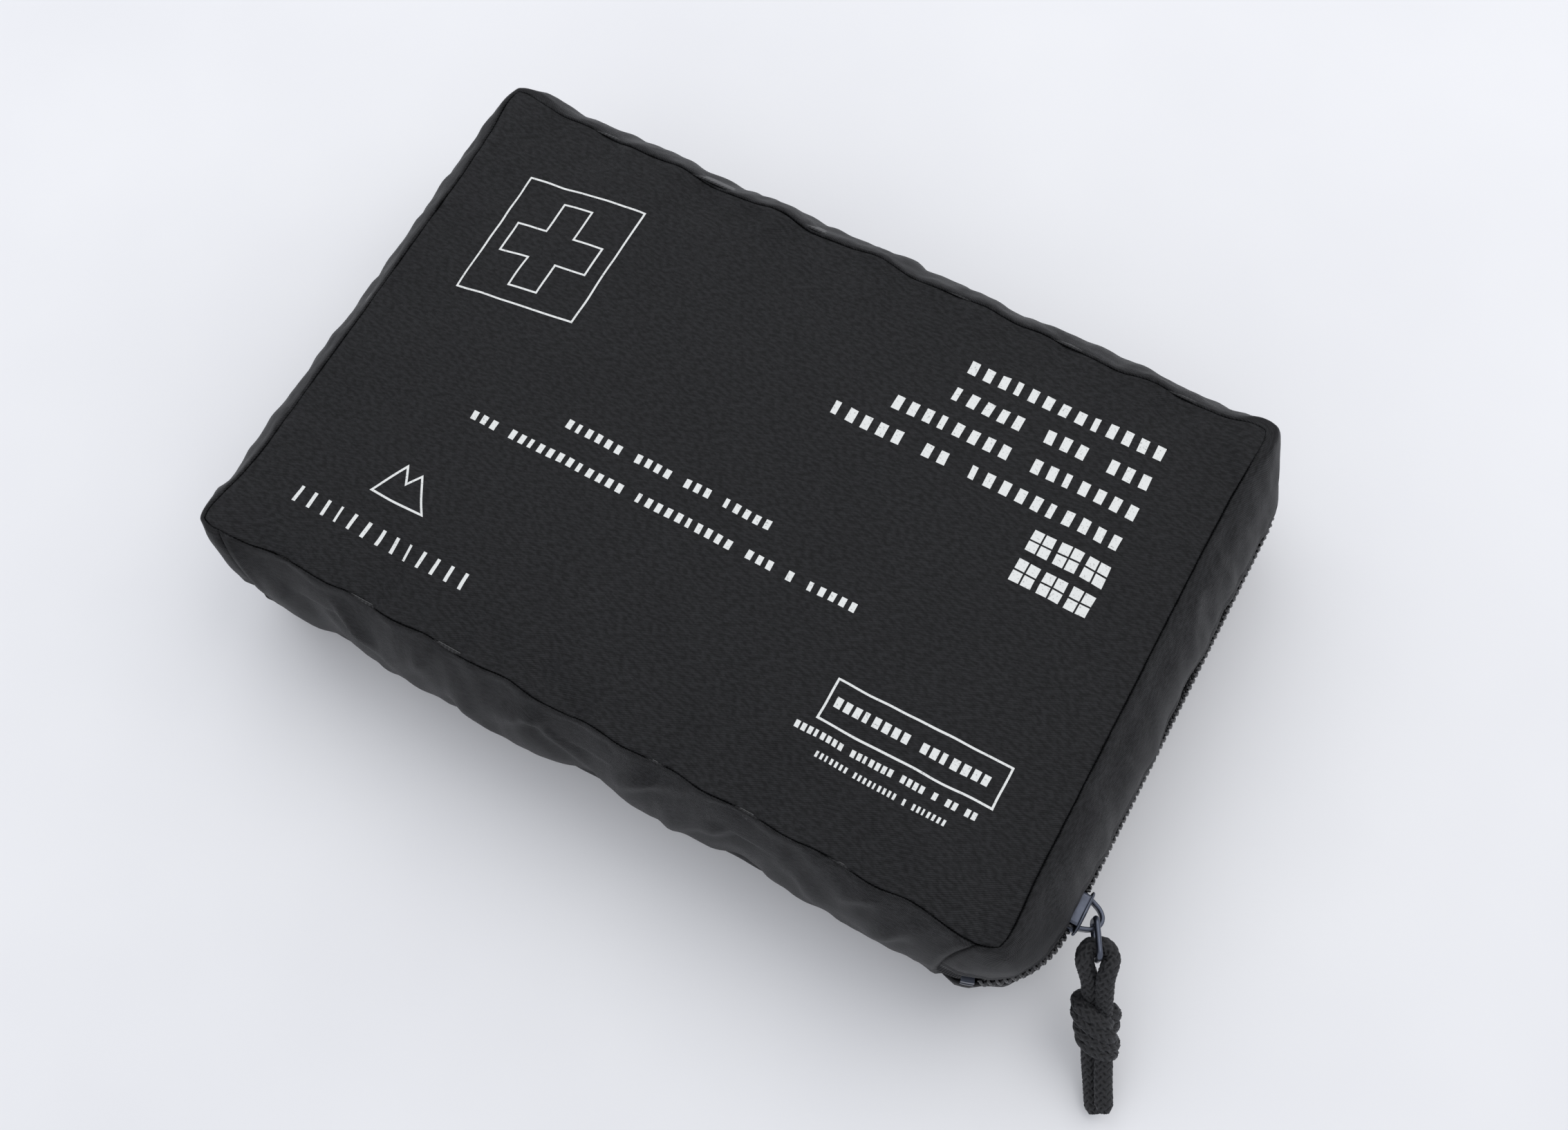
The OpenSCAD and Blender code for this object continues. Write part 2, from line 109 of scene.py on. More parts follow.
# ---- Shader nodes ----
class Nodes:
    """A material's node tree, with the few calls that the finishes share."""

    def __init__(self, name, colour, roughness=0.6, **finish):
        self.material = bpy.data.materials.new(name)
        self.material.use_nodes = True
        self.tree = self.material.node_tree
        self.shader = self.tree.nodes["Principled BSDF"]
        self.set(self.shader, "Base Color", (*colour, 1))
        self.set(self.shader, "Roughness", roughness)
        for socket, value in finish.items():
            self.set(self.shader, socket.replace("_", " "), value)

    def set(self, node, socket, value):
        if isinstance(value, bpy.types.NodeSocket):
            self.tree.links.new(value, node.inputs[socket])
        elif value is not None:
            node.inputs[socket].default_value = value

    def add(self, kind, options=(), **inputs):
        node = self.tree.nodes.new("ShaderNode" + kind)
        for key, value in dict(options).items():
            setattr(node, key, value)
        for socket, value in inputs.items():
            self.set(node, int(socket[1:]) if socket[1:].isdigit() else socket, value)
        return node

    def place(self, uv=False):
        """Where a point lies: on the flat cut cloth in millimetres, or on the object."""
        if uv:
            return self.add("UVMap", {"uv_map": "flat"}).outputs["UV"]
        return self.add("TexCoord").outputs["Object"]

    def mapped(self, place, scale, turn=0.0):
        node = self.add("Mapping", Vector=place, Rotation=(0, 0, turn))
        node.inputs["Scale"].default_value = scale if isinstance(scale, tuple) else (scale,) * 3
        return node.outputs["Vector"]

    def noise(self, place, scale, detail=2.0, roughness=0.5):
        node = self.add("TexNoise", Vector=place, Scale=scale, Detail=detail, Roughness=roughness)
        return node.outputs["Fac"]

    def ribs(self, place, pitch, turn=0.0, distortion=0.0, kind="SIN"):
        """Ribs pitch apart, in the units of place, turned from its first axis."""
        node = self.add(
            "TexWave",
            {"wave_type": "BANDS", "bands_direction": "X", "wave_profile": kind},
            Vector=self.mapped(place, 1.0, turn),
            Scale=tau / 20 / pitch,
            Distortion=distortion,
        )
        return node.outputs["Fac"]

    def maths(self, operation, a, b=0.5, c=None):
        node = self.add("Math", {"operation": operation}, _0=a, _1=b)
        if c is not None:
            self.set(node, 2, c)
        return node.outputs[0]

    def ramp(self, factor, *stops):
        node = self.add("ValToRGB", Fac=factor)
        ramp = node.color_ramp
        while len(ramp.elements) < len(stops):
            ramp.elements.new(0.5)
        for element, (at, colour) in zip(ramp.elements, stops):
            element.position = at
            element.color = (*colour, 1)
        return node.outputs["Color"]

    def mix(self, factor, a, b, blend="MIX"):
        node = self.add("Mix", {"data_type": "RGBA", "blend_type": blend}, Factor=factor)
        for socket, value in ((6, a), (7, b)):
            self.set(node, socket, (*value, 1) if isinstance(value, tuple) else value)
        return node.outputs[2]

    def paint(self, colour):
        self.set(self.shader, "Base Color", colour)

    def gloss(self, factor, low, high):
        """Roughness between two values."""
        mapped = self.add("MapRange", Value=factor, _3=low, _4=high)
        self.set(self.shader, "Roughness", mapped.outputs[0])

    def bump(self, height, distance, strength=1.0):
        """Adds relief to what the shader's normal already has."""
        node = self.add("Bump", Height=height, Distance=distance, Strength=strength)
        links = self.shader.inputs["Normal"].links
        if links:
            self.set(node, "Normal", links[0].from_socket)
        self.set(self.shader, "Normal", node.outputs["Normal"])


def scaled(colour, factor):
    return tuple(min(1, factor * c) for c in colour)


def floor_finish():
    m = Nodes("floor", (0.86, 0.86, 0.87), 0.55, Specular_IOR_Level=0.3)
    wear = m.noise(m.place(), 9.0, 3.0)
    m.paint(m.ramp(wear, (0.3, (0.83, 0.83, 0.845)), (0.7, (0.87, 0.87, 0.88))))
    m.bump(m.noise(m.place(), 900.0), 0.1 * MM, 0.15)
    return m.material


def twill(name, colour, light, pitch=0.46, sheen=0.35, relief=0.07):
    """Closely woven polyester twill: fine diagonal ribs, faint slubs and a grey sheen."""
    m = Nodes(
        name,
        colour,
        0.62,
        Specular_IOR_Level=0.17,
        Sheen_Weight=sheen,
        Sheen_Roughness=0.45,
        Sheen_Tint=(0.75, 0.77, 0.82, 1),
    )
    place = m.place(uv=True)
    ribs = m.ribs(place, pitch, radians(58), 0.35)
    weft = m.ribs(place, pitch * 0.72, radians(-14), 0.5)
    slubs = m.noise(m.mapped(place, (0.25, 2.2, 1.0)), 1.3, 3.0)
    cloud = m.noise(place, 0.045, 3.0)
    shade = m.mix(ribs, scaled(colour, 0.72), light)
    shade = m.mix(m.maths("MULTIPLY", slubs, 0.5), shade, scaled(light, 1.25))
    shade = m.mix(m.maths("MULTIPLY", cloud, 0.3), shade, scaled(colour, 0.8))
    flecks = m.noise(m.mapped(place, (0.35, 0.8, 1.0), radians(32)), 1.6, 2.0)
    fleck = m.ramp(flecks, (0.36, (0.5,) * 3), (0.64, (1.55,) * 3))
    m.paint(m.mix(1.0, shade, fleck, "MULTIPLY"))
    m.gloss(cloud, 0.44, 0.56)
    weave = m.maths("ADD", m.maths("MULTIPLY", ribs, 0.7), m.maths("MULTIPLY", weft, 0.3))
    m.bump(weave, relief * MM, 0.9)
    m.bump(slubs, 0.06 * MM, 0.5)
    return m.material


# ---- Meshes from grids of points ----
def steps(count, wrap):
    return np.arange(count if wrap else count - 1)


def grid_quads(rows, cols, wrap=False):
    """Faces of a grid of rows by cols points, and the same faces in an unwrapped grid."""
    i, j = (a.ravel() for a in np.meshgrid(steps(rows, wrap), np.arange(cols - 1), indexing="ij"))
    open_grid = np.stack([i * cols + j, (i + 1) * cols + j, (i + 1) * cols + j + 1, i * cols + j + 1], 1)
    return open_grid % (rows * cols), open_grid


def mesh_of(name, points, quads, flat=None, flat_quads=None):
    """A smooth mesh, with its flat cloth coordinates in millimetres if it has them."""
    mesh = bpy.data.meshes.new(name)
    points = np.asarray(points, dtype=np.float32).reshape(-1, 3)
    mesh.from_pydata(points.tolist(), [], [list(face) for face in quads])
    if flat is not None:
        layer = mesh.uv_layers.new(name="flat")
        flat = np.asarray(flat, dtype=np.float32).reshape(-1, 2)
        corners = np.concatenate([list(face) for face in (quads if flat_quads is None else flat_quads)])
        layer.uv.foreach_set("vector", flat[corners].ravel())
    mesh.shade_smooth()
    obj = bpy.data.objects.new(name, mesh)
    scene.collection.objects.link(obj)
    return obj


def finish(obj, body, material, slot, replaces=(), lining=None, thickness=0.0):
    """Gives a piece its material, its thickness and its place on a body."""
    obj.data.materials.append(material)
    if thickness:
        wall = obj.modifiers.new("thickness", "SOLIDIFY")
        wall.thickness = thickness
        wall.offset = -1
        wall.use_even_offset = False
        if lining:
            obj.data.materials.append(lining)
            wall.material_offset = 1
    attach(obj, body)
    if replaces:
        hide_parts(*replaces)
    return obj


def joined(name, parts):
    """One mesh from several lists of points and faces."""
    points, quads, count = [], [], 0
    for p, q in parts:
        points.append(np.asarray(p).reshape(-1, 3))
        quads.extend([i + count for i in face] for face in q)
        count += len(points[-1])
    return mesh_of(name, np.concatenate(points), quads)


def smooth(t):
    t = np.clip(t, 0, 1)
    return t * t * (3 - 2 * t)


def rise(distance, start, length):
    """A smooth step from 0 to 1, with its start and its length in millimetres."""
    return smooth((distance - start * MM) / (length * MM))


def near(distance, width):
    """1 at a line and falling to nothing a width or two away from it."""
    return np.exp(-((distance / width) ** 2))


def fractal(points, size, seed=0.0, octaves=2):
    """Smooth noise between about -1 and 1 at each point, with features of a size."""
    flat = np.asarray(points).reshape(-1, 3) / size + seed
    values = [noise.fractal(Vector(p), 0.6, 2.0, octaves) for p in flat.tolist()]
    return np.array(values).reshape(np.asarray(points).shape[:-1])


def finer(a, wrap=False):
    """Twice as many rows, the new ones on a smooth curve through the old."""
    if wrap:
        before, after, beyond = (np.roll(a, n, 0) for n in (1, -1, -2))
        out = np.empty((2 * len(a), *a.shape[1:]))
        out[0::2], out[1::2] = a, (9 * (a + after) - before - beyond) / 16
        return out
    ends = np.concatenate([[2 * a[0] - a[1]], a, [2 * a[-1] - a[-2]]])
    out = np.empty((2 * len(a) - 1, *a.shape[1:]))
    out[0::2] = a
    out[1::2] = (9 * (a[:-1] + a[1:]) - ends[:-3] - ends[3:]) / 16
    return out


def finer_both(a, wrap=False):
    return finer(finer(a, wrap).swapaxes(0, 1)).swapaxes(0, 1)


def grid_normals(p, wrap=False):
    """Normals of a grid of points, to the left of its rows' way and its columns' way."""
    if wrap:
        along = np.roll(p, -1, 0) - np.roll(p, 1, 0)
    else:
        along = np.gradient(p, axis=0)
    n = np.cross(along, np.gradient(p, axis=1))
    return n / np.maximum(np.linalg.norm(n, axis=-1, keepdims=True), 1e-12)


def together(*parts):
    """Points from arrays of their coordinates."""
    return np.stack(np.broadcast_arrays(*parts), -1)


# ---- Tubes ----
def spline(points, count):
    """A smooth curve through points, as count points evenly spaced along it."""
    p = np.asarray(points, dtype=float)
    ends = np.concatenate([[2 * p[0] - p[1]], p, [2 * p[-1] - p[-2]]])
    t = np.linspace(0, 1, 24, endpoint=False)[:, None]
    parts = []
    for a, b, c, d in zip(ends[:-3], ends[1:-2], ends[2:-1], ends[3:]):
        parts.append(
            0.5 * (2 * b + (c - a) * t + (2 * a - 5 * b + 4 * c - d) * t**2
                   + (3 * b - a - 3 * c + d) * t**3)
        )
    return resampled(np.concatenate([*parts, p[-1:]]), count)


def resampled(points, count):
    far = distances(points)
    at = np.linspace(0, far[-1], count)
    return np.stack([np.interp(at, far, points[:, k]) for k in range(3)], 1)


def length_of(points):
    return float(np.linalg.norm(np.diff(points, axis=0), axis=1).sum())


def distances(points):
    """Distance of each point of a path from its first."""
    return np.concatenate([[0], np.cumsum(np.linalg.norm(np.diff(points, axis=0), axis=1))])


def frames_along(path):
    """Tangents and two side directions along a path, without twist."""
    tangent = np.gradient(path, axis=0)
    tangent /= np.linalg.norm(tangent, axis=1, keepdims=True)
    side = np.cross(tangent[0], (0, 0, 1) if abs(tangent[0][2]) < 0.9 else (1, 0, 0))
    sides = np.empty_like(path)
    for i, t in enumerate(tangent):
        side = side - t * side.dot(t)
        side = side / np.linalg.norm(side)
        sides[i] = side
    return tangent, sides, np.cross(tangent, sides)


def tube(path, radius, sides=12, relief=None):
    """Points and faces of a round tube, closed at both ends, with relief(angle, along)."""
    _, u, v = frames_along(path)
    along = distances(path)
    angle = np.arange(sides) * tau / sides
    r = np.broadcast_to(radius, (len(path),))[:, None]
    r = r + (relief(angle[None], along[:, None]) if relief else 0)
    ring = u[:, None] * np.cos(angle)[None, :, None] + v[:, None] * np.sin(angle)[None, :, None]
    points = path[:, None] + ring * r[..., None]
    quads, _ = grid_quads(sides, len(path), wrap=True)
    # grid_quads runs round first, so the points go in that order too
    points = points.swapaxes(0, 1).reshape(-1, 3)
    last = len(path)
    faces = quads.tolist()
    for end, cap in ((0, -1), (last - 1, 1)):
        ring_ids = [k * last + end for k in range(sides)]
        faces.append(ring_ids[::cap])
    return points, faces


# ---- Pull cord ----
CORD_D = 4.5 * MM
CORD_STEP = 0.3 * MM
BRAID_LAY, BRAID_DEPTH, BRAID_SIDES = 12 * MM, 1.15 * MM, 60
# The route of one strand in the pull's own frame: along the pull, across it and up
CORD_ROUTE = MM * np.array(
    [
        (6.3, 0.1, 30), (6.4, 1.5, 29.9), (7.6, 2.8, 29.6), (9.5, 3.3, 29), (12, 2.9, 27.6),
        (16, 2.5, 24), (20, 2.3, 19.5), (24, 2.3, 15.5), (28, 2.3, 12.5), (33, 2.5, 9.5),
        (38, 2.7, 7), (42, 2.6, 5.5), (45, 2.4, 4.8),
    ]
)
PULL_PIN = Vector((132.2, -52, 0)) * MM
PULL_TURN = Matrix.Rotation(radians(-59), 3, "Z")
KNOT_AT = np.array((24.5, 0, 15.2)) * MM
KNOT_DIP = radians(35)


def on_pull(points):
    """Points of the pull's own frame in the model's."""
    return np.asarray(points) @ np.array(PULL_TURN.transposed()) + np.array(PULL_PIN)


def braid(carriers, lay, depth):
    """Relief of a round braid: two sets of bundles that pass over and under each other."""

    def relief(angle, along):
        turn = along / lay * tau
        left, right = carriers / 2 * (angle + turn), carriers / 2 * (angle - turn)
        over = np.sin(left) * np.sin(right)
        a = np.abs(np.cos(left)) ** 0.7 * (0.72 + 0.28 * np.sign(over) * np.abs(over) ** 0.4)
        b = np.abs(np.cos(right)) ** 0.7 * (0.72 - 0.28 * np.sign(over) * np.abs(over) ** 0.4)
        return depth * (np.maximum(a, b) - 0.8)

    return relief


def cord_finish():
    m = Nodes("cord_braid", (0.012, 0.012, 0.013), 0.6, Specular_IOR_Level=0.3, Sheen_Weight=0.12,
              Sheen_Roughness=0.5, Sheen_Tint=(0.7, 0.72, 0.78, 1))
    fibres = m.noise(m.place(), 2600.0, 2.0)
    # painted shade: the braid's relief, read per point, turns the colour near black in the grooves
    # between the bundles and leaves the fibre tone on their crests
    bundles = m.add("Attribute", {"attribute_name": "relief"}).outputs["Fac"]
    crest = m.ramp(fibres, (0.3, (0.008, 0.008, 0.009)), (0.75, (0.030, 0.030, 0.032)))
    m.paint(m.mix(m.maths("POWER", bundles, 1.7), (0.001, 0.001, 0.0012), crest))
    m.gloss(fibres, 0.45, 0.7)
    m.bump(fibres, 0.08 * MM, 0.8)
    return m.material


def braided(name, paths, radii):
    """Braided cords as one mesh, each point keeping how proud it stands, for the painted shade in the
    grooves between the bundles.
    """
    relief = braid(6, BRAID_LAY, BRAID_DEPTH)
    piece = joined(name, [tube(path, radius, BRAID_SIDES, relief) for path, radius in zip(paths, radii)])
    angle = np.arange(BRAID_SIDES) * tau / BRAID_SIDES
    proud = []
    for path in paths:
        along = distances(path)
        proud.append(relief(angle[:, None], along[None, :]).ravel())
    proud = np.concatenate(proud)
    proud = smooth((proud - proud.min()) / (np.ptp(proud) * 0.8))
    layer = piece.data.attributes.new("relief", "FLOAT", "POINT")
    layer.data.foreach_set("value", proud.astype(np.float32))
    return piece


def add_strand(side, name, material):
    """One strand of the doubled cord, from its loop over the bail to its cut end."""
    route = CORD_ROUTE * (1, side, 1)
    length = length_of(route)
    path = spline(route, ceil(length / CORD_STEP))
    roll = radians(52) * rise(path[:, 0], 8, 7)
    roll += radians(14) * rise(path[:, 0], 30, 9)
    lying = path.copy()
    lying[:, 1] = path[:, 1] * np.cos(roll)
    lying[:, 2] = path[:, 2] + side * np.abs(path[:, 1]) * np.sin(roll)
    path = on_pull(lying)
    start = np.arange(len(path)) * CORD_STEP
    rest = start[::-1]
    radius = CORD_D / 2 * (0.82 + 0.23 * rise(start, 0, 0.9))
    radius = radius * (0.55 + 0.45 * rise(rest, 0, 2.4) ** 0.6)
    piece = braided(name + "_braid", [path], [radius])
    finish(piece, "pull", material, "pull_cord", [name])
    return piece


def knot_path(start, turns, climb, shift, radius, lean):
    """One strand's wraps round the pull: it dives in at both ends."""
    t = np.linspace(0, 1, 90)
    dive = smooth(t / 0.16) * smooth((1 - t) / 0.16)
    r = 1.2 * MM + (radius - 1.2 * MM) * dive
    angle = start + turns * tau * t
    along = shift + climb * (t - 0.5) + lean * MM * np.sin(angle)
    return np.stack([along, r * np.sin(angle) * 1.05, r * np.cos(angle)], 1)


def add_knot(material):
    """The doubled overhand knot: both strands go round together and tuck under."""
    dip = np.array(Matrix.Rotation(KNOT_DIP, 3, "Y").transposed())
    paths = []
    wraps = ((-4.9, 0.2, 2.5, 4.1), (-1.7, 0.3, 2.8, 4.2), (2.0, 0.75, 1.8, 3.6), (4.8, 0.9, 1.5, 3.2))
    for shift, start, lean, radius in wraps:
        path = knot_path(start * pi, 1.1, 2.4 * MM, shift * MM, radius * MM, lean)
        path = on_pull(path @ dip + KNOT_AT)
        paths.append(resampled(path, ceil(length_of(path) / (0.33 * MM))))
    piece = braided("pull_knot_wraps", paths, [2.2 * MM] * len(paths))
    return finish(piece, "pull", material, "pull_cord", ["pull_knot"])


add_camera()
add_studio()
cord_braid = cord_finish()
add_strand(-1, "pull_cord_left", cord_braid)
add_strand(1, "pull_cord_right", cord_braid)
add_knot(cord_braid)

FLOOR_HALF, FLOOR_Z = 3.0, -0.4 * MM
floor = mesh_of(
    "floor",
    [(x * FLOOR_HALF, y * FLOOR_HALF, FLOOR_Z) for x in (-1, 1) for y in (-1, 1)],
    [(0, 2, 3, 1)],
)
floor.data.materials.append(floor_finish())

# ---- The case: sizes from the frame ----
HALF_L, HALF_W, CASE_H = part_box("lid_panel")[1]
MID_Z = CASE_H / 2
SWELL = 12.5 * MM
HINGE_SWELL = -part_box("hinge_gusset_upper")[0][1] - HALF_W
MID_R = 24 * MM
SEAM_R = 6 * MM
POINTED = 0.35  # how much of the square corner the turned seam keeps
FOLD_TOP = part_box("lid_gusset")[0][2]
CLOTH_T = 0.5 * MM
SEAM_LINES = MM * np.array((0, 0.8, 1.8, 3.0, 4.4, 6.0))  # cloth lines beside a seam
CLOTH_STEP = 2.6 * MM


def bulge(z):
    """How much of its full swell the wall has at height z."""
    return np.maximum(0, 1 - ((z - MID_Z) / MID_Z) ** 2) ** 0.75


def case_point(x, y, z, out=0.0):
    """Where a point of the flat panel's outline, or inside it, comes to lie at height z."""
    x, y, z = np.broadcast_arrays(np.asarray(x, float), y, z)
    full = bulge(z)
    r = SEAM_R + (MID_R - SEAM_R) * full + out
    end, back, front = (half + swell * full + out for half, swell in
                        ((HALF_L, SWELL), (HALF_W, SWELL), (HALF_W, HINGE_SWELL)))
    flat_x, flat_y = HALF_L - SEAM_R, HALF_W - SEAM_R
    u, v = np.clip(x / flat_x, -1, 1), np.clip(y / flat_y, -1, 1)
    s, t = (np.clip((np.abs(a) - flat) / SEAM_R, 0, 1) for a, flat in ((x, flat_x), (y, flat_y)))
    point = POINTED * (1 - full)
    round_s, round_t = s * np.sqrt(1 - t * t / 2), t * np.sqrt(1 - s * s / 2)
    s, t = round_s + point * (s - round_s), round_t + point * (t - round_t)
    px = u * (end - r) + np.sign(x) * r * s
    low, high = r - front, back - r
    py = low + (high - low) * (v + 1) / 2 + np.sign(y) * r * t
    return np.stack([px, py, z], -1)


def seam_lines(half):
    """Cloth lines across a panel: close beside the seams, then evenly spaced."""
    inner = half - SEAM_LINES[-1]
    middle = np.linspace(-inner, inner, 2 * round(inner / CLOTH_STEP) + 1)
    return np.concatenate([-half + SEAM_LINES[:-1], middle, half - SEAM_LINES[-2::-1]])


def wall_levels():
    """Heights of the gusset's cloth lines, from the top seam down, and their distance from it."""
    z = np.linspace(CASE_H, 0, 1201)
    at = np.stack([SWELL * bulge(z), z], 1)
    far = distances(at)
    fold = np.interp(-FOLD_TOP, -z, far)
    inner = np.linspace(SEAM_LINES[-1], fold, 1 + round((fold - SEAM_LINES[-1]) / CLOTH_STEP))
    upper = np.concatenate([SEAM_LINES[:-1], inner])
    middle = np.linspace(fold, far[-1] - fold, 7)
    fall = np.concatenate([upper, middle[1:-1], far[-1] - upper[::-1]])
    return np.interp(fall, far, z), fall, len(upper) - 1


xs, ys = seam_lines(HALF_L), seam_lines(HALF_W)
levels, fall, fold_row = wall_levels()
low_fold_row = len(levels) - 1 - fold_row


def outline():
    """The panel's outline as grid places, from the hinge's right end round to it again."""
    nx, ny = len(xs) - 1, len(ys) - 1
    ring = [(i, 0) for i in range(nx)] + [(nx, j) for j in range(ny)]
    ring += [(i, ny) for i in range(nx, 0, -1)] + [(0, j) for j in range(ny, 0, -1)]
    first = nx + 1 - len(SEAM_LINES)
    ring = ring[first:] + ring[:first]
    return np.array(ring), len(ring) - (nx + 2 - 2 * len(SEAM_LINES))


ring, hinge_start = outline()
ring_x, ring_y = xs[ring[:, 0]], ys[ring[:, 1]]


def along_ring(points):
    """Distance round a closed ring of points, with the whole length last."""
    step = np.linalg.norm(np.roll(points, -1, 0) - points, axis=1)
    return np.concatenate([[0], np.cumsum(step)])


# Each top corner: its side in x and y, and how far it stands up and out, in millimetres
CORNERS = ((1, 1, 2.2, 1.4), (-1, 1, 2.0, 1.2), (-1, -1, 1.2, 2.4), (1, -1, 0.4, 0.6))
TOP_SINK = 1.1 * MM
# Each long seam: its y, and the height and the length of its waves, in millimetres
SEAM_WAVES = ((HALF_W, 0.9, 37), (-HALF_W, 0.7, 29))


def settle(p):
    """The case's own unevenness: standing corners, a slack back seam, a soft front edge."""
    p = p.copy()
    for x, y, lift, push in CORNERS:
        corner = np.array((x * HALF_L, y * HALF_W, CASE_H))
        share = near(np.linalg.norm(p - corner, axis=-1), 13 * MM)
        p[..., 2] += lift * MM * share
        p[..., 0] += x * push * MM * share
        p[..., 1] += y * push * MM * share
    p[..., 2] -= TOP_SINK * smooth((p[..., 2] - 0.7 * CASE_H) / (0.3 * CASE_H))
    x = p[..., 0]
    for y, wave, size in SEAM_WAVES:
        share = near(np.hypot(p[..., 1] - y, p[..., 2] - CASE_H), 12 * MM)
        sway = np.sin(x / (size * MM) * tau + 0.7) + 0.6 * np.sin(x / (0.43 * size * MM) * tau)
        p[..., 2] += wave * MM * share * sway
        p[..., 1] += 0.6 * wave * MM * share * np.cos(x / (0.8 * size * MM) * tau)
    return p


def rest_case():
    """The case as cut and sewn, before it is filled: its panel grid and its wall grid."""
    top = settle(case_point(xs[:, None], ys[None, :], CASE_H))
    wall = settle(case_point(ring_x[:, None], ring_y[:, None], levels[None, :]))
    return top, wall


def lie_flat(grid, rest):
    """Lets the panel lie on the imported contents: its broad swell goes, and its creases stay."""
    rise = grid[..., 2] - rest[..., 2]
    broad = rise.copy()
    for _ in range(160):
        broad[1:-1, 1:-1] = (broad[:-2, 1:-1] + broad[2:, 1:-1] + broad[1:-1, :-2] + broad[1:-1, 2:]) / 4
    grid[..., 2] = rest[..., 2] + 0.12 * broad + (rise - broad)
    return grid


def under_top(points):
    """Keeps the cloth under the height on which the opened lid rests."""
    knee, room = CASE_H - 0.8 * MM, 0.9 * MM
    over = np.maximum(points[..., 2] - knee, 0)
    points[..., 2] = np.minimum(points[..., 2], knee) + room * np.tanh(over / room)
    return points


def over_floor(points):
    """Keeps the cloth, with its thickness, above the surface that the case stands on."""
    points[..., 2] = np.maximum(points[..., 2], 0.05 * MM)
    return points


CLOTH_FRAMES, CLOTH_SCALE = 26, 10.0
CLOTH_GROWTH = 0.07
CLOTH = {
    "quality": 6, "mass": 0.25, "tension_stiffness": 25, "compression_stiffness": 25,
    "shear_stiffness": 8, "bending_stiffness": 0.5, "air_damping": 2,
    "vertex_group_mass": "pin", "vertex_group_shrink": "grow",
    "shrink_min": 0.0, "shrink_max": -CLOTH_GROWTH,
    "use_pressure": True, "uniform_pressure_force": 0.6,
}


def simulate(points, quads, pinned, growth):
    """Lets cloth that is cut larger than its frame settle under a light pressure from inside."""
    obj = mesh_of("cloth", points * CLOTH_SCALE, quads)
    for name, weights in (("pin", pinned.astype(float)), ("grow", growth)):
        group = obj.vertex_groups.new(name=name)
        for value in np.unique(np.round(weights, 2)):
            group.add(np.flatnonzero(np.round(weights, 2) == value).tolist(), float(value), "REPLACE")
    cloth = obj.modifiers.new("cloth", "CLOTH")
    cloth.collision_settings.use_collision = False
    cloth.point_cache.frame_start, cloth.point_cache.frame_end = 1, CLOTH_FRAMES
    for setting, value in CLOTH.items():
        setattr(cloth.settings, setting, value)
    cloth.settings.effector_weights.gravity = 0
    for number in range(1, CLOTH_FRAMES + 1):
        scene.frame_set(number)
    done = obj.evaluated_get(bpy.context.evaluated_depsgraph_get()).to_mesh()
    out = np.empty(len(points) * 3, np.float32)
    done.vertices.foreach_get("co", out)
    bpy.data.objects.remove(obj)
    scene.frame_set(1)
    return out.reshape(-1, 3) / CLOTH_SCALE


PANEL_GROWTH, GUSSET_GROWTH, HINGE_GROWTH = 0.3, 0.7, 1.0
FARTHEST_MOVE = 7 * MM


def fill_case(top, wall):
    """Runs the case's cloth, and returns both grids as the cloth settles."""
    nt = top.shape[0] * top.shape[1]
    rows, cols = wall.shape[:2]
    ids = nt + np.arange(rows * cols).reshape(rows, cols)
    ids[:, 0] = ring[:, 0] * top.shape[1] + ring[:, 1]
    panel, _ = grid_quads(*top.shape[:2])
    quads, open_quads = grid_quads(rows, cols, wrap=True)
    column, row = open_quads[:, 0] // cols, open_quads[:, 0] % cols
    zip_gap = (column < hinge_start) & (row >= fold_row) & (row < low_fold_row)
    walls = ids.ravel()[quads[~zip_gap]][:, ::-1]
    points = np.concatenate([top.reshape(-1, 3), wall.reshape(-1, 3)])
    start = points + 0.35 * MM * np.stack(
        [fractal(points, 14 * MM, seed) for seed in (3.1, 7.7, 11.3)], 1
    )
    pinned = np.zeros(len(points), bool)
    pinned[ids[:, 0]] = True
    pinned[ids[:, -1]] = True
    pinned[ids[: hinge_start + 1, fold_row : low_fold_row + 1]] = True
    start[pinned] = points[pinned]
    growth = np.full(len(points), PANEL_GROWTH)
    growth[ids[:, 1:]] = GUSSET_GROWTH
    growth[ids[hinge_start:, 1:]] = HINGE_GROWTH
    out = simulate(start, np.concatenate([panel, walls]), pinned, growth)
    move = out - points
    far = np.linalg.norm(move, axis=1, keepdims=True)
    out = points + move * np.minimum(1, FARTHEST_MOVE / np.maximum(far, 1e-9))
    out[pinned] = points[pinned]
    filled = out[ids]
    skipped = np.zeros((rows, cols), bool)
    skipped[:hinge_start, fold_row + 1 : low_fold_row] = True
    filled[skipped] = wall[skipped]
    return lie_flat(out[:nt].reshape(top.shape), top), filled


top, wall = rest_case()
top, wall = fill_case(top, wall)

# ---- Fine cloth: seams, puckers and hems ----
top, wall = finer_both(top), finer_both(wall, wrap=True)
xs_fine, ys_fine, fall_fine = finer(xs), finer(ys), finer(fall)
ring_round = along_ring(case_point(ring_x, ring_y, CASE_H))
round_fine = finer(ring_round)
fine_fold, fine_low_fold, fine_hinge = 2 * fold_row, 2 * low_fold_row, 2 * hinge_start
RING_FINE = 2 * len(ring)


def set_ring(grid, values):
    """Puts values on the outline of a fine panel grid."""
    nx, ny = grid.shape[0] - 1, grid.shape[1] - 1
    v = np.roll(values, 2 * (len(xs) - len(SEAM_LINES)), axis=0)
    grid[:-1, 0], v = v[:nx], v[nx:]
    grid[-1, :-1], v = v[:ny], v[ny:]
    grid[:0:-1, -1], v = v[:nx], v[nx:]
    grid[0, :0:-1] = v


SLANT = np.array(Matrix.Rotation(radians(33), 3, "Z"))


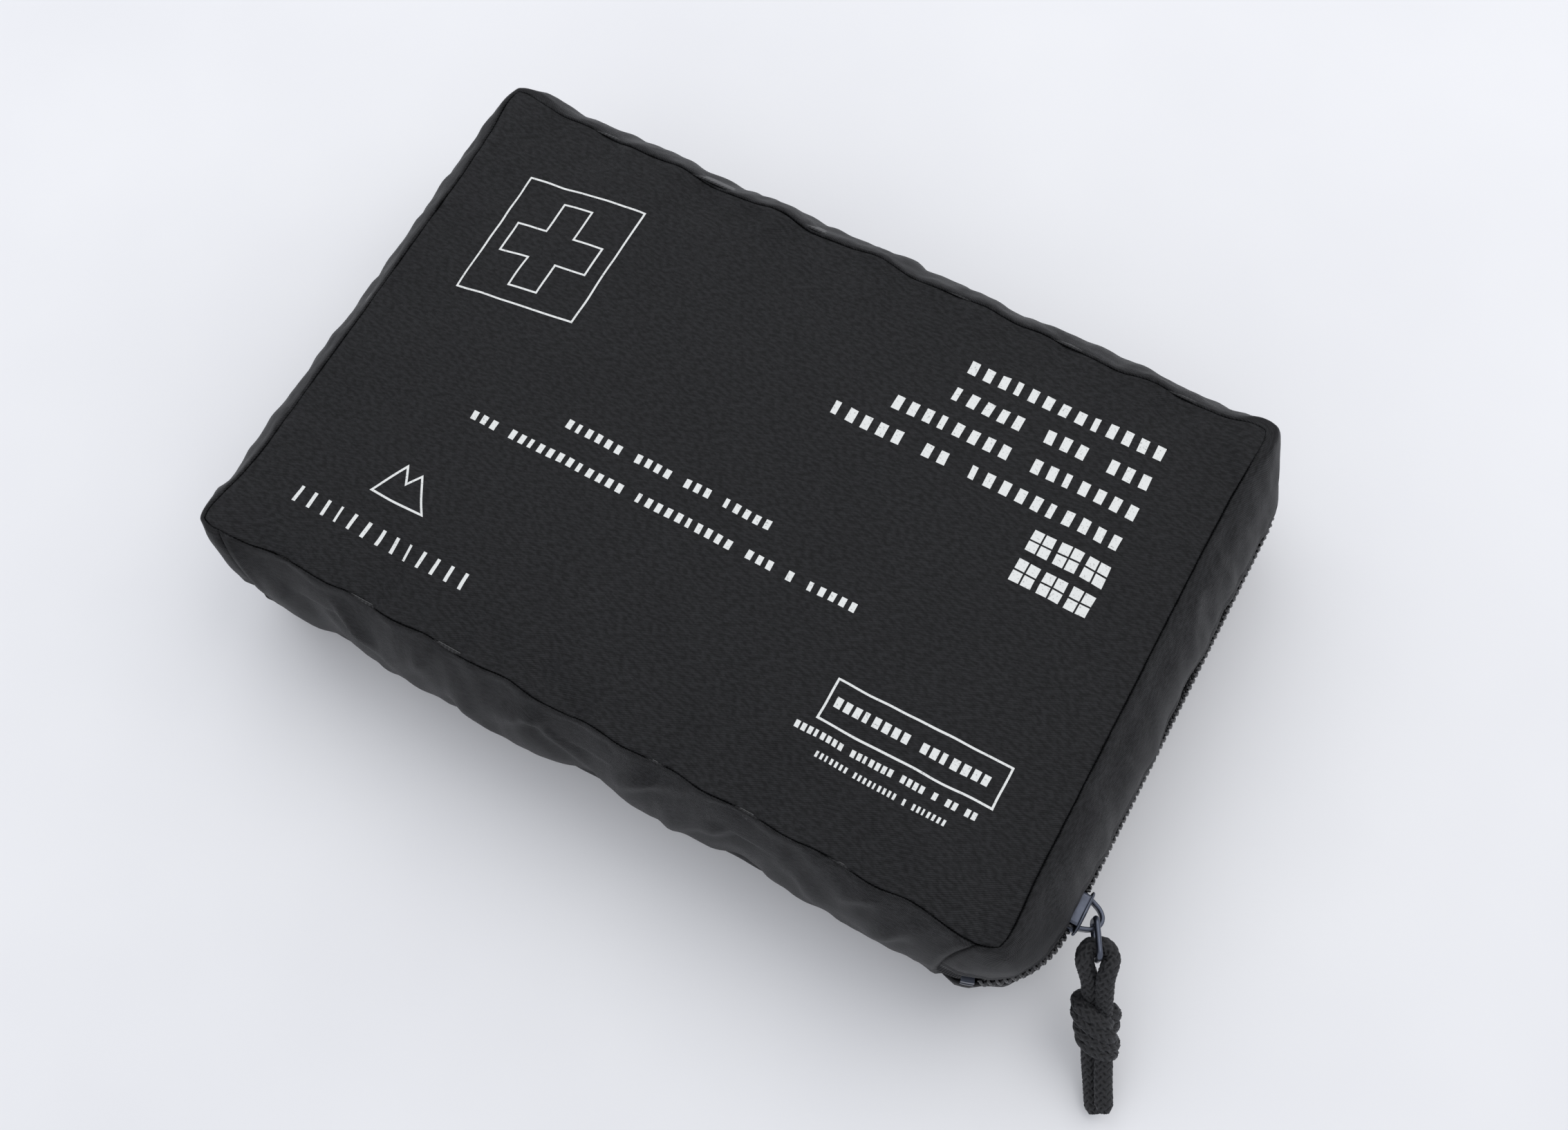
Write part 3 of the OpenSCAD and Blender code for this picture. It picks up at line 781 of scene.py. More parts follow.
def pucker(points, size, seed):
    """Short gathers across a seam, uneven in their spacing and depth."""
    stretched = points * (1, 1, 0.15)
    return fractal(stretched, size, seed, 2) * (0.6 + 0.4 * fractal(points, 9 * size, seed + 5, 1))


def creases(round_mm, fall_mm, table):
    """Folds in flat cloth: each has a middle, a slant, a length, a width and a height."""
    lift = np.zeros(np.broadcast(round_mm, fall_mm).shape)
    for at, down, slant, long, wide, high in table:
        du, dv = round_mm - at, fall_mm - down
        c, s = cos(radians(slant)), sin(radians(slant))
        along, across = du * c + dv * s, dv * c - du * s
        across = across + 1.1 * np.sin(along / 7 + at) * wide / 3
        steep = across / wide
        lift += high * (near(steep, 1.0) - 0.55 * near(steep - 1.5, 0.9)) * near(along, long / 2)
    return lift


def hinge_creases():
    """Along the hinge gusset, by the distance from its right end: pinches and slanting folds."""
    span = 2 * HALF_L / MM
    folds = ((0.075, 20, 78, 17, 3.4, 1.6), (0.12, 12, 60, 14, 3.0, 1.0), (0.17, 26, -62, 20, 4.2, 1.1),
             (0.29, 17, 52, 24, 3.4, 1.9), (0.34, 28, 66, 22, 3.6, 1.2), (0.39, 15, 48, 20, 3.0, 1.4),
             (0.50, 20, -55, 24, 3.6, 1.7), (0.55, 14, 50, 20, 3.2, 1.5), (0.62, 30, -68, 20, 4.4, 1.1),
             (0.70, 15, 58, 18, 3.2, 1.2), (0.79, 17, -50, 20, 3.2, 1.4), (0.90, 20, 72, 18, 4.0, 1.3))
    return [(span * share, *rest) for share, *rest in folds]


def dress_wall(wall):
    normal = -grid_normals(wall, wrap=True)
    s_top = fall_fine[None, :] + 0 * wall[..., 0]
    s_low = fall_fine[-1] - s_top
    gathers = pucker(wall, 5 * MM, 2.0)
    lift = 0 * s_top
    for s, proud in ((s_top, 0.15), (s_low, 0.5)):
        ridge = proud * near(s - 2.0 * MM, 1.7 * MM) * (1 + 0.8 * gathers)
        lift += ridge + 0.8 * gathers * np.exp(-s / (8 * MM)) * rise(s, 1.5, 4)
    body = rise(s_top, 0, 7) * rise(s_low, 0, 7)
    waves = fractal(wall * (1, 1, 0.5), 19 * MM, 21.0, 2)
    folds = fractal(wall @ SLANT * (1, 1, 0.3), 9 * MM, 33.0, 2)
    lift += body * (0.9 * waves + 0.7 * folds)
    far_round = (round_fine[-1] - round_fine[:-1])[:, None] / MM
    on_hinge = (np.arange(len(wall)) > fine_hinge)[:, None]
    lift += on_hinge * body**0.5 * creases(far_round, s_top / MM, hinge_creases())
    # the hinge gusset is pinched in twice, where the cloth hangs slack between the packs
    for share, deep in ((0.27, 2.6), (0.48, 2.0), (0.86, 1.4)):
        at = share * 2 * HALF_L / MM
        lift -= on_hinge * body * deep * near(far_round - at, 9)
    # the cloth stays off the seam bindings, which lie just inside it
    off_seam = rise(np.minimum(s_top, s_low), 14, 7)
    lift = np.maximum(lift, -0.6 - 3.0 * off_seam)
    on_zip = (np.arange(len(wall)) <= fine_hinge)[:, None]
    for row in (fine_fold, fine_low_fold):
        s = np.abs(s_top - fall_fine[row])
        hem = -0.30 * near(s - 2.2 * MM, 0.7 * MM) + 0.25 * near(s - 0.9 * MM, 0.8 * MM)
        tugs = 0.28 * pucker(wall, 3.6 * MM, 9.0) * near(s - 2.2 * MM, 2.5 * MM)
        lift += on_zip * (hem + tugs) * rise(s, 0, 0.6)
    # the side seams where the hinge gusset meets the zip gussets
    for column in (0, fine_hinge):
        far = np.abs(round_fine[:-1] - round_fine[column])
        far = np.minimum(far, round_fine[-1] - far)[:, None]
        lift += -0.7 * near(far, 0.7 * MM) + 0.5 * near(far - 2.0 * MM, 1.2 * MM) * (1 + gathers)
    return wall + normal * lift[..., None] * MM, normal


def dress_top(top, seam):
    inset = np.minimum(HALF_L - np.abs(xs_fine)[:, None], HALF_W - np.abs(ys_fine)[None, :])
    gathers = pucker(top, 5 * MM, 4.0)
    lift = 0.7 * gathers * np.exp(-inset / (7 * MM)) * rise(inset, 0, 1)
    lift = -0.25 * near(inset, 0.8 * MM) + lift
    inside = rise(inset, 0, 16)
    slack, pulls = fractal(top, 46 * MM, 41.0, 1), fractal(top @ SLANT * (1, 0.35, 1), 15 * MM, 53.0, 2)
    lift += inside * (1.1 * slack + 0.45 * pulls)
    edge = rise(inset, 0, 3) * (1 - rise(inset, 14, 22))
    lift += 0.75 * edge * fractal(top @ SLANT, 13 * MM, 61.0, 2)
    top = top + lift[..., None] * (0, 0, MM)
    set_ring(top, seam)
    return top


wall, wall_normal = dress_wall(wall)
SEAM_SINK = 0.9 * MM
seam_in = wall_normal[:, 0] * 0.6 + np.array((0, 0, 0.5))
wall[:, 0] -= SEAM_SINK * seam_in
wall[:, -1] += SEAM_SINK * (np.array((0, 0, 0.5)) - 0.3 * wall_normal[:, -1])
wall = over_floor(under_top(wall))
top = under_top(dress_top(top, wall[:, 0]))


# ---- Pieces of the case ----
def wall_flat():
    """The gusset's flat cloth coordinates in millimetres, one more column than the wall."""
    return together(round_fine[:, None] / MM, fall_fine[None, :] / MM)


def wall_piece(name, columns, rows, hem=0):
    """A stretch of the wall between two columns and two rows, with a turned hem if asked."""
    ids = np.arange(columns[0], columns[1] + 1)
    part = wall[ids % RING_FINE, rows[0] : rows[1] + 1]
    flat = wall_flat()[ids, rows[0] : rows[1] + 1]
    if hem:
        part, flat = with_hem(part, flat, wall_normal[ids % RING_FINE, rows[0] : rows[1] + 1], hem)
    quads, _ = grid_quads(*part.shape[:2])
    return mesh_of(name, part, quads[:, ::-1], flat)


def with_hem(part, flat, normal, end):
    """Turns the cloth under at the zip: end is -1 for the last row and 1 for the first."""
    if end == 1:
        part, flat, normal = part[:, ::-1], flat[:, ::-1], normal[:, ::-1]
    edge, n = part[:, -1], normal[:, -1]
    down = edge - part[:, -2]
    down /= np.linalg.norm(down, axis=1, keepdims=True)
    turned = ((0.28, 0.18), (0.4, 0.5), (0.28, 0.85), (0, 1.02))
    rows = [edge + down * a * MM - n * b * MM for a, b in turned]
    rows += [part[:, -1 - k] - normal[:, -1 - k] * 1.05 * MM for k in (2, 4)]
    extra = np.stack(rows, 1)
    steps = np.arange(1, len(rows) + 1)[None, :, None]
    beyond = flat[:, -1:] + (flat[:, -1:] - flat[:, -2:-1]) * steps * 0.4
    part, flat = np.concatenate([part, extra], 1), np.concatenate([flat, beyond], 1)
    return (part[:, ::-1], flat[:, ::-1]) if end == 1 else (part, flat)


def panel_piece(name, grid, upward):
    flat = together(xs_fine[:, None] / MM, ys_fine[None, :] / MM)
    quads, _ = grid_quads(*grid.shape[:2])
    return mesh_of(name, grid, quads if upward else quads[:, ::-1], flat)


case_twill = twill(
    "case_twill", (0.0058, 0.0058, 0.0063), (0.0138, 0.0138, 0.015), sheen=0.02, relief=0.1
)
lining = twill("case_lining", (0.02, 0.02, 0.022), (0.032, 0.032, 0.034), 0.3, 0.15, 0.03)


def add_case():
    last = wall.shape[1] - 1
    zip_columns, hinge_columns = (0, fine_hinge), (fine_hinge, RING_FINE)
    top_panel = panel_piece("top_panel", top, True)
    finish(top_panel, "lid", case_twill, "case_fabric", ["lid_panel"], lining, CLOTH_T)
    upper = wall_piece("upper_gusset", zip_columns, (0, fine_fold), -1)
    finish(upper, "lid", case_twill, "case_fabric", ["lid_gusset"], lining, CLOTH_T)
    lower = wall_piece("lower_gusset", zip_columns, (fine_low_fold, last), 1)
    finish(lower, "base", case_twill, "case_fabric", ["base_gusset"], lining, CLOTH_T)
    bottom = case_point(xs_fine[:, None], ys_fine[None, :], 0.0)
    inset = np.minimum(HALF_L - np.abs(xs_fine)[:, None], HALF_W - np.abs(ys_fine)[None, :])
    bottom[..., 2] += 0.9 * MM * near(inset, 2.5 * MM)
    set_ring(bottom, wall[:, -1])
    bottom_panel = panel_piece("bottom_panel", bottom, False)
    finish(bottom_panel, "base", case_twill, "case_fabric", ["base_panel"], lining, CLOTH_T)
    hinge = wall_piece("hinge_gusset", hinge_columns, (0, last))
    hinge.data.materials.append(case_twill)
    hinge.data.materials.append(lining)
    shell = hinge.modifiers.new("thickness", "SOLIDIFY")
    shell.thickness, shell.offset, shell.material_offset = CLOTH_T, -1, 1
    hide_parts("hinge_gusset_lower", "hinge_gusset_upper")
    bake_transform(hinge)


add_case()


# ---- Zip ----
def zip_stations(fine=4):
    """Places round the zip's run, from the hinge's right end round to its left."""
    i = np.linspace(0, hinge_start, fine * hinge_start + 1)
    stop = hinge_start + 1
    whole = np.arange(stop)
    return np.interp(i, whole, ring_x[:stop]), np.interp(i, whole, ring_y[:stop])


zip_x, zip_y = zip_stations()
zip_line = case_point(zip_x, zip_y, MID_Z)
zip_far = distances(zip_line)
COIL_PITCH = 2.0 * MM
WIRE = 0.42 * MM


def on_zip(far, up, out):
    """Points at a distance along the zip, above its middle and out from the wall's face."""
    at = np.stack([np.interp(far, zip_far, zip_line[:, k]) for k in range(3)], -1)
    way = np.stack([np.interp(far, zip_far, np.gradient(zip_line[:, k])) for k in range(2)], -1)
    way /= np.linalg.norm(way, axis=-1, keepdims=True)
    at[..., 0] += way[..., 1] * out
    at[..., 1] -= way[..., 0] * out
    at[..., 2] += up
    return at


def far_at(y):
    """How far along the zip a place on the straight right end is."""
    right = (zip_line[:, 0] > HALF_L + SWELL - 0.01 * MM) & (np.abs(zip_line[:, 1]) < HALF_W)
    return float(np.interp(y, zip_line[right, 1], zip_far[right]))


def coil_run(side, start, end, parted):
    """One half's teeth: a spun filament whose tips reach just past the middle, or stand parted."""
    turns = int((end - start) / COIL_PITCH)
    phase = np.linspace(0, turns * tau, turns * 14 + 1)
    far = start + COIL_PITCH * phase / tau
    turn = phase + (pi if side < 0 else 0)
    tip = (1 - np.cos(turn)) / 2
    up = side * (2.75 * MM + parted(far) - 2.7 * MM * tip**0.8)
    out = (-0.35 + 0.78 * np.sin(turn)) * MM
    path = on_zip(far, up, out)
    return tube(path, WIRE * (1 + 0.18 * near(1 - tip, 0.25)), 6)


def far_corner(angle):
    """How far along the zip a place on the front right corner is, by its angle."""
    return MID_R * radians(angle)


def coil_finish():
    m = Nodes("zip_coil", (0.012, 0.012, 0.013), 0.32, Specular_IOR_Level=0.5, Coat_Weight=0.15)
    scuff = m.noise(m.place(), 700.0, 2.0)
    m.paint(m.ramp(scuff, (0.4, (0.007, 0.007, 0.008)), (0.75, (0.035, 0.035, 0.038))))
    m.gloss(scuff, 0.26, 0.42)
    return m.material


def tape_finish():
    """Herringbone zip tape with fine lengthwise cords."""
    m = Nodes("zip_tape", (0.012, 0.012, 0.013), 0.75, Specular_IOR_Level=0.25, Sheen_Weight=0.3)
    place = m.place(uv=True)
    cords = m.ribs(place, 0.9, pi / 2)
    knit = m.ribs(place, 0.55, radians(35))
    m.paint(m.mix(knit, (0.008, 0.008, 0.009), (0.02, 0.02, 0.022)))
    m.bump(m.maths("ADD", cords, knit), 0.12 * MM, 0.8)
    return m.material


def add_zip():
    coil_plastic, tape_cloth = coil_finish(), tape_finish()
    before, behind = far_at(-57 * MM), far_at(-53 * MM)

    def parted(far):
        """How far the tips stand off the middle: only before the slider."""
        return 0.9 * MM * (1 - smooth((far - before) / (behind - before)))

    for side, body in ((-1, "base"), (1, "lid")):
        run = coil_run(side, far_corner(26), zip_far[-1] - far_corner(82), parted)
        coil = joined(f"{body}_zip_teeth", [run])
        finish(coil, body, coil_plastic, "zip_coil", [f"{body}_zip_coil"])
        heights = MM * np.array((1.1, 1.35, 1.9, 3.5, 5.5, 8, 10.5, 12.4, 13))
        swell = MM * np.array((0, 0.25, 0.1, 0, 0, 0, 0, 0.1, 0))
        from_end = np.minimum(zip_far, zip_far[-1] - zip_far)
        sewn = 1 - smooth((from_end - far_corner(12)) / far_corner(12))
        points = np.stack(
            [case_point(zip_x, zip_y, MID_Z + side * h * (1 - 0.9 * sewn * (h < 2 * MM)),
                        -1.85 * MM + g + 1.5 * MM * sewn * (h < 3 * MM))
             for h, g in zip(heights, swell)], 1
        )
        flat = together(zip_far[:, None] / MM, heights[None, :] / MM)
        quads, _ = grid_quads(*points.shape[:2])
        tape = mesh_of(f"{body}_zip_ribbon", points, quads if side > 0 else quads[:, ::-1], flat)
        finish(tape, body, tape_cloth, "zip_tape", [f"{body}_zip_tape"], None, 0.5 * MM)


add_zip()

# ---- Prints on the top panel ----
INK = 0.06 * MM


def on_panel(x, y, lift=INK):
    """Places of the flat panel, in metres, on the panel as it lies."""
    i = np.interp(x, xs_fine, np.arange(len(xs_fine)))
    j = np.interp(y, ys_fine, np.arange(len(ys_fine)))
    i0, j0 = (np.minimum(a.astype(int), n - 2) for a, n in ((i, len(xs_fine)), (j, len(ys_fine))))
    a, b = (i - i0)[..., None], (j - j0)[..., None]
    low = top[i0, j0] * (1 - a) + top[i0 + 1, j0] * a
    high = top[i0, j0 + 1] * (1 - a) + top[i0 + 1, j0 + 1] * a
    return low * (1 - b) + high * b + (0, 0, lift)


def block(x0, y0, x1, y1, skew=0.0):
    """A filled oblong of ink, in millimetres, cut fine enough to follow the cloth."""
    across, up = (max(2, ceil((b - a) / 0.9) + 1) for a, b in ((x0, x1), (y0, y1)))
    x, y = np.meshgrid(np.linspace(x0, x1, across), np.linspace(y0, y1, up), indexing="ij")
    return on_panel(x * MM, (y + skew * (x - x0)) * MM), grid_quads(across, up)[0]


def line(points, width, closed=False):
    """An ink line through points, in millimetres, with mitred corners."""
    p = np.array(points + points[:1] if closed else points, dtype=float)
    way = np.diff(p, axis=0)
    way /= np.linalg.norm(way, axis=1, keepdims=True)
    side = np.stack([-way[:, 1], way[:, 0]], 1)
    before = np.concatenate([side[-1:] if closed else side[:1], side])
    after = np.concatenate([side, side[:1] if closed else side[-1:]])
    mitre = (before + after) / (1 + (before * after).sum(1, keepdims=True))
    left, right = p + mitre * width / 2, p - mitre * width / 2
    parts = []
    for k in range(len(way)):
        n = max(2, ceil(np.linalg.norm(p[k + 1] - p[k]) / 0.8) + 1)
        t = np.linspace(0, 1, n)[:, None]
        a = left[k] + (left[k + 1] - left[k]) * t
        b = right[k] + (right[k + 1] - right[k]) * t
        edge = np.stack([b, a], 1) * MM
        parts.append((on_panel(edge[..., 0], edge[..., 1]), grid_quads(n, 2)[0]))
    return parts


def words(counts, x_end, y, pitch, high, wide, from_left=False):
    """A line of plain blocks in place of lettering, word by word."""
    whole = (sum(counts) + len(counts) - 1) * pitch
    x = x_end if from_left else x_end - whole
    parts = []
    for count in counts:
        for k in range(count):
            thin = wide * (0.72 if (k * 7 + count * 3) % 5 == 0 else 1.0)
            parts.append(block(x, y - high / 2, x + thin, y + high / 2))
            x += pitch
        x += pitch
    return parts


def ink_finish():
    m = Nodes("print_ink", (0.72, 0.73, 0.71), 0.5, Specular_IOR_Level=0.3)
    wear = m.noise(m.place(), 1900.0, 3.0)
    m.paint(m.ramp(wear, (0.28, (0.35, 0.35, 0.34)), (0.42, (0.74, 0.75, 0.73))))
    m.bump(m.noise(m.place(), 2500.0), 0.03 * MM, 0.5)
    return m.material


def add_prints():
    ink = ink_finish()
    lean = 0.135
    cx, cy, half_x, half_y = -78.7, 35.6, 17.4, 19.4

    def emblem(points):
        return [(cx + half_x * u, cy + half_y * v + lean * half_x * u) for u, v in points]

    square = emblem([(-1, -1), (1, -1), (1, 1), (-1, 1)])
    a, b = 0.24, 0.74
    cross = emblem([(-a, -b), (a, -b), (a, -a), (b, -a), (b, a), (a, a), (a, b), (-a, b),
                    (-a, a), (-b, a), (-b, -a), (-a, -a)])
    groups = {
        "print_emblem": line(square, 0.55, True) + line(cross, 0.55, True),
        "print_title": words([13], 97.5, 57, 4.45, 4.0, 2.3) + words([5, 3, 3], 97.5, 48, 4.45, 4.0, 2.3)
        + words([8, 7], 98, 39, 4.45, 4.0, 2.3) + words([5, 2, 10], 98, 29.8, 4.45, 4.0, 2.3),
        "print_contents": words([6, 4, 3, 5], 17, -7.5, 3.0, 2.6, 1.6)
        + words([3, 12, 10, 3, 1, 5], 47, -17, 3.0, 2.6, 1.6),
        "print_mark": line([(-82, -48), (-77, -38), (-74.6, -42.4), (-72, -38.6), (-66, -48)], 0.6, True)
        + words([13], -99, -58, 4.35, 4.6, 1.0, True),
        "print_label": line([(50.6, -46), (98.4, -46), (98.2, -34.6), (50.8, -34.9)], 0.6, True)
        + words([8, 7], 95.5, -40.4, 2.68, 2.8, 1.8)
        + words([8, 7, 4, 1, 2, 2], 96.5, -49.6, 1.72, 1.9, 1.15)
        + words([7, 9, 1, 7], 91, -54.2, 1.35, 1.6, 0.7),
    }
    small = []
    for y in (20.2, 11.2):
        for k in range(3):
            x = 75.5 + 7.6 * k
            small += [block(x + 3.3 * i, y - 3.1 + 3.4 * j, x + 2.8 + 3.3 * i, y - 0.2 + 3.4 * j)
                      for i in (0, 1) for j in (0, 1)]
    groups["print_squares"] = small
    for name, parts in groups.items():
        finish(joined(name, parts), "lid", ink, "case_fabric")


add_prints()


# ---- Soft and packed contents ----
def islands(node):
    """The boxes of a CAD node's separate solids, from left to right and front to back."""
    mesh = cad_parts[node].data
    points = np.array([v.co for v in mesh.vertices])
    root = np.arange(len(points))
    same = {}
    for i, p in enumerate(np.round(points / (0.01 * MM)).astype(int).tolist()):
        root[i] = same.setdefault(tuple(p), i)

    def find(i):
        while root[i] != i:
            root[i] = root[root[i]]
            i = root[i]
        return i

    for edge in mesh.edges:
        a, b = (find(i) for i in edge.vertices)
        root[a] = b
    groups = {}
    for i in range(len(points)):
        groups.setdefault(find(i), []).append(i)
    boxes = [(points[ids].min(0), points[ids].max(0)) for ids in groups.values()]
    return sorted(boxes, key=lambda box: [round(v, 4) for v in box[0]])


SEAL_LEVEL = 0.42  # how high up a pack its seals lie


def pouch(box, seal, side_seal, full, creases, seed, step=1.7):
    """A packed pouch: flat ribbed seals at its ends, a filled middle, and creases that run from
    the seals. It is closed: its upper and lower faces meet round the edge. Sizes in millimetres."""
    low, high = box
    size = high - low
    nx, ny = (ceil(size[k] / (step * MM)) + 1 for k in (0, 1))
    u, v = np.meshgrid(np.linspace(0, 1, nx), np.linspace(0, 1, ny), indexing="ij")
    x, y = u * size[0], v * size[1]
    from_end = np.minimum(x, size[0] - x) - seal * MM
    from_side = np.minimum(y, size[1] - y) - side_seal * MM
    reach = min(size[2] * 0.75, 0.3 * min(size[:2]))

    def swell(far):
        t = np.clip(far / reach, 0, 1)
        return (1 - (1 - t) ** 2.4) ** 0.5

    filled = swell(from_end) * swell(from_side)
    p = np.stack([x * 0.35, y * 1.6, 0 * x], -1)
    wrinkle = fractal(p, 9 * MM, seed, 3)
    broad = fractal(np.stack([x, y, 0 * x], -1), 26 * MM, seed + 9, 2)
    ends = np.exp(-np.maximum(from_end, 0) / (9 * MM))
    relief = creases * MM * (wrinkle * (0.35 + 0.9 * ends) + 0.6 * broad) * np.clip(filled * 2.5, 0, 1)
    crimp = 0.12 * MM * np.sin(x / (1.6 * MM) * tau) * (from_end < 0)
    middle = low[2] + size[2] * SEAL_LEVEL
    foil = 0.16 * MM
    sag = 0.5 * MM * fractal(p * (1, 0.3, 1), 20 * MM, seed + 3, 1) * (filled < 0.02)
    up = middle + foil + (high[2] - middle - foil) * full * filled + relief * 0.8 + crimp + sag
    down = middle - foil - (middle - foil - low[2]) * filled - 0.2 * relief * (filled > 0) + crimp + sag
    up, down = np.clip(up, low[2] + 2 * foil, high[2] + 0.4 * MM), np.maximum(down, low[2])
    # the sides draw in where the pack is full
    draw = 1 - 0.05 * filled * (1 - filled) * 4 - 0.012 * (1 + np.cos(u * tau))
    px, py = low[0] + x, (low[1] + high[1]) / 2 + (y - size[1] / 2) * draw
    top_ids = np.arange(nx * ny).reshape(nx, ny)
    points = np.concatenate([np.stack([px, py, z], -1).reshape(-1, 3) for z in (up, down)])
    quads = grid_quads(nx, ny)[0]
    edge = np.concatenate([top_ids[:-1, 0], top_ids[-1, :-1], top_ids[:0:-1, -1], top_ids[0, :0:-1]])
    after = np.roll(edge, -1)
    walls = np.stack([edge, edge + nx * ny, after + nx * ny, after], 1)
    return points, np.concatenate([quads, quads[:, ::-1] + nx * ny, walls])


def lathe(profile, sides, relief=None):
    """Points and faces of a closed ring turned about X: profile is (x, radius) round and round."""
    profile = np.asarray(profile)
    angle = np.arange(sides) * tau / sides
    x = np.broadcast_to(profile[None, :, 0], (sides, len(profile))).copy()
    r = np.broadcast_to(profile[None, :, 1], (sides, len(profile))).copy()
    if relief:
        dx, dr = relief(angle[:, None], x, r)
        x, r = x + dx, r + dr
    points = np.stack([x, -r * np.sin(angle)[:, None], r * np.cos(angle)[:, None]], -1)
    n = len(profile)
    quads, _ = grid_quads(sides, n, wrap=True)
    i = np.arange(sides)
    close = np.stack([i * n + n - 1, (i + 1) % sides * n + n - 1, (i + 1) % sides * n, i * n], 1)
    return points.reshape(-1, 3), np.concatenate([quads, close])


def roll_profile(length, outer, inner, step):
    """Section of a wound roll: out along one end, along the outside, and back in."""
    end = np.linspace(inner, outer - 0.6 * MM, ceil((outer - inner) / step))
    run = np.linspace(0.6 * MM, length - 0.6 * MM, ceil(length / (1.1 * MM)))
    bore = np.linspace(length - 0.3 * MM, 0.3 * MM, 6)
    return (
        [(0, r) for r in end] + [(0.2 * MM, outer - 0.2 * MM)] + [(x, outer) for x in run]
        + [(length - 0.2 * MM, outer - 0.2 * MM)] + [(length, r) for r in end[::-1]]
        + [(x, inner) for x in bore]
    )


def bandage_roll(box, seed):
    """A loosely wound crepe bandage: its turns show at both ends, and its tail lies over it."""
    low, high = box
    length, outer = high[0] - low[0], (high[2] - low[2]) / 2 - 0.35 * MM
    turn = 1.7 * MM

    def relief(angle, x, r):
        inside = (r < outer - 0.3 * MM) & (r > 3 * MM)
        spiral = np.cos((r / turn - angle / tau) * tau)
        end = np.where(x < length / 2, -1, 1)
        dx = inside * end * (0.35 * MM * spiral - 0.5 * MM)
        side = (r > outer - 0.1 * MM)
        crepe = 0.13 * MM * np.sin(x / (1.9 * MM) * tau + 1.2 * np.sin(3 * angle + seed)) * side
        tail = 0.35 * MM * smooth(((angle + 1.2 + 0.03 * np.sin(x / (9 * MM))) % tau) / 0.25) * side
        flat = -0.5 * MM * near(np.cos(angle) + 1, 0.3) * side
        soft = 0.25 * MM * np.sin(2 * angle + x / length * 2.2 + seed) * side
        return dx, crepe + tail + flat + soft - 0.35 * MM * side

    points, quads = lathe(roll_profile(length, outer, 2.2 * MM, 0.42 * MM), 96, relief)
    centre = (low + high) / 2
    return points + (low[0], centre[1], centre[2]), quads


def fibre_finish(name, colour, dark, pitch, relief, roughness=0.85):
    """Loose open weave of gauze or crepe on the object's own axes."""
    m = Nodes(name, colour, roughness, Specular_IOR_Level=0.2, Sheen_Weight=0.2)
    place = m.place()
    x = m.ribs(place, pitch * MM, 0.0, 0.6)
    y = m.ribs(place, pitch * MM, pi / 2, 0.6)
    weave = m.maths("MULTIPLY", x, y)
    fuzz = m.noise(place, 1400.0, 3.0)
    shade = m.mix(weave, dark, colour)
    m.paint(m.mix(m.maths("MULTIPLY", fuzz, 0.35), shade, scaled(colour, 0.86)))
    m.bump(weave, relief * MM, 0.8)
    m.bump(fuzz, 0.1 * MM, 0.6)
    return m.material


def film_finish(
    name, colour, tint, roughness=0.3, coat=0.3, relief=0.25, size=160.0, metallic=0.0, band=None
):
    """Printed film or paper of a pouch: fine crinkles, uneven gloss, and a plain printed band."""
    m = Nodes(name, colour, roughness, Specular_IOR_Level=0.5, Coat_Weight=coat, Coat_Roughness=0.2,
              Metallic=metallic)
    place = m.place()
    cloud = m.noise(place, size * 0.3, 3.0)
    crinkle = m.noise(place, size, 5.0, 0.6)
    shade = m.mix(cloud, colour, tint)
    if band:
        tone, pitch, across, threshold = band
        ribs = m.ribs(place, pitch * MM, pi / 2 if across else 0.0)
        shade = m.mix(m.maths("GREATER_THAN", ribs, threshold), shade, tone)
    m.paint(shade)
    m.gloss(crinkle, roughness * 0.75, roughness * 1.3)
    m.bump(crinkle, relief * MM, 0.7)
    return m.material


def add_rolls():
    gauze = fibre_finish("crepe_gauze", (0.80, 0.78, 0.72), (0.58, 0.55, 0.49), 0.75, 0.12)
    for node in ("bandage_rolls_wide", "bandage_rolls_narrow"):
        for number, box in enumerate(islands(node), 1):
            piece = joined(f"{node}_{number}", [bandage_roll(box, number * 1.9)])
            finish(piece, "base", gauze, "bandage_gauze", [node])


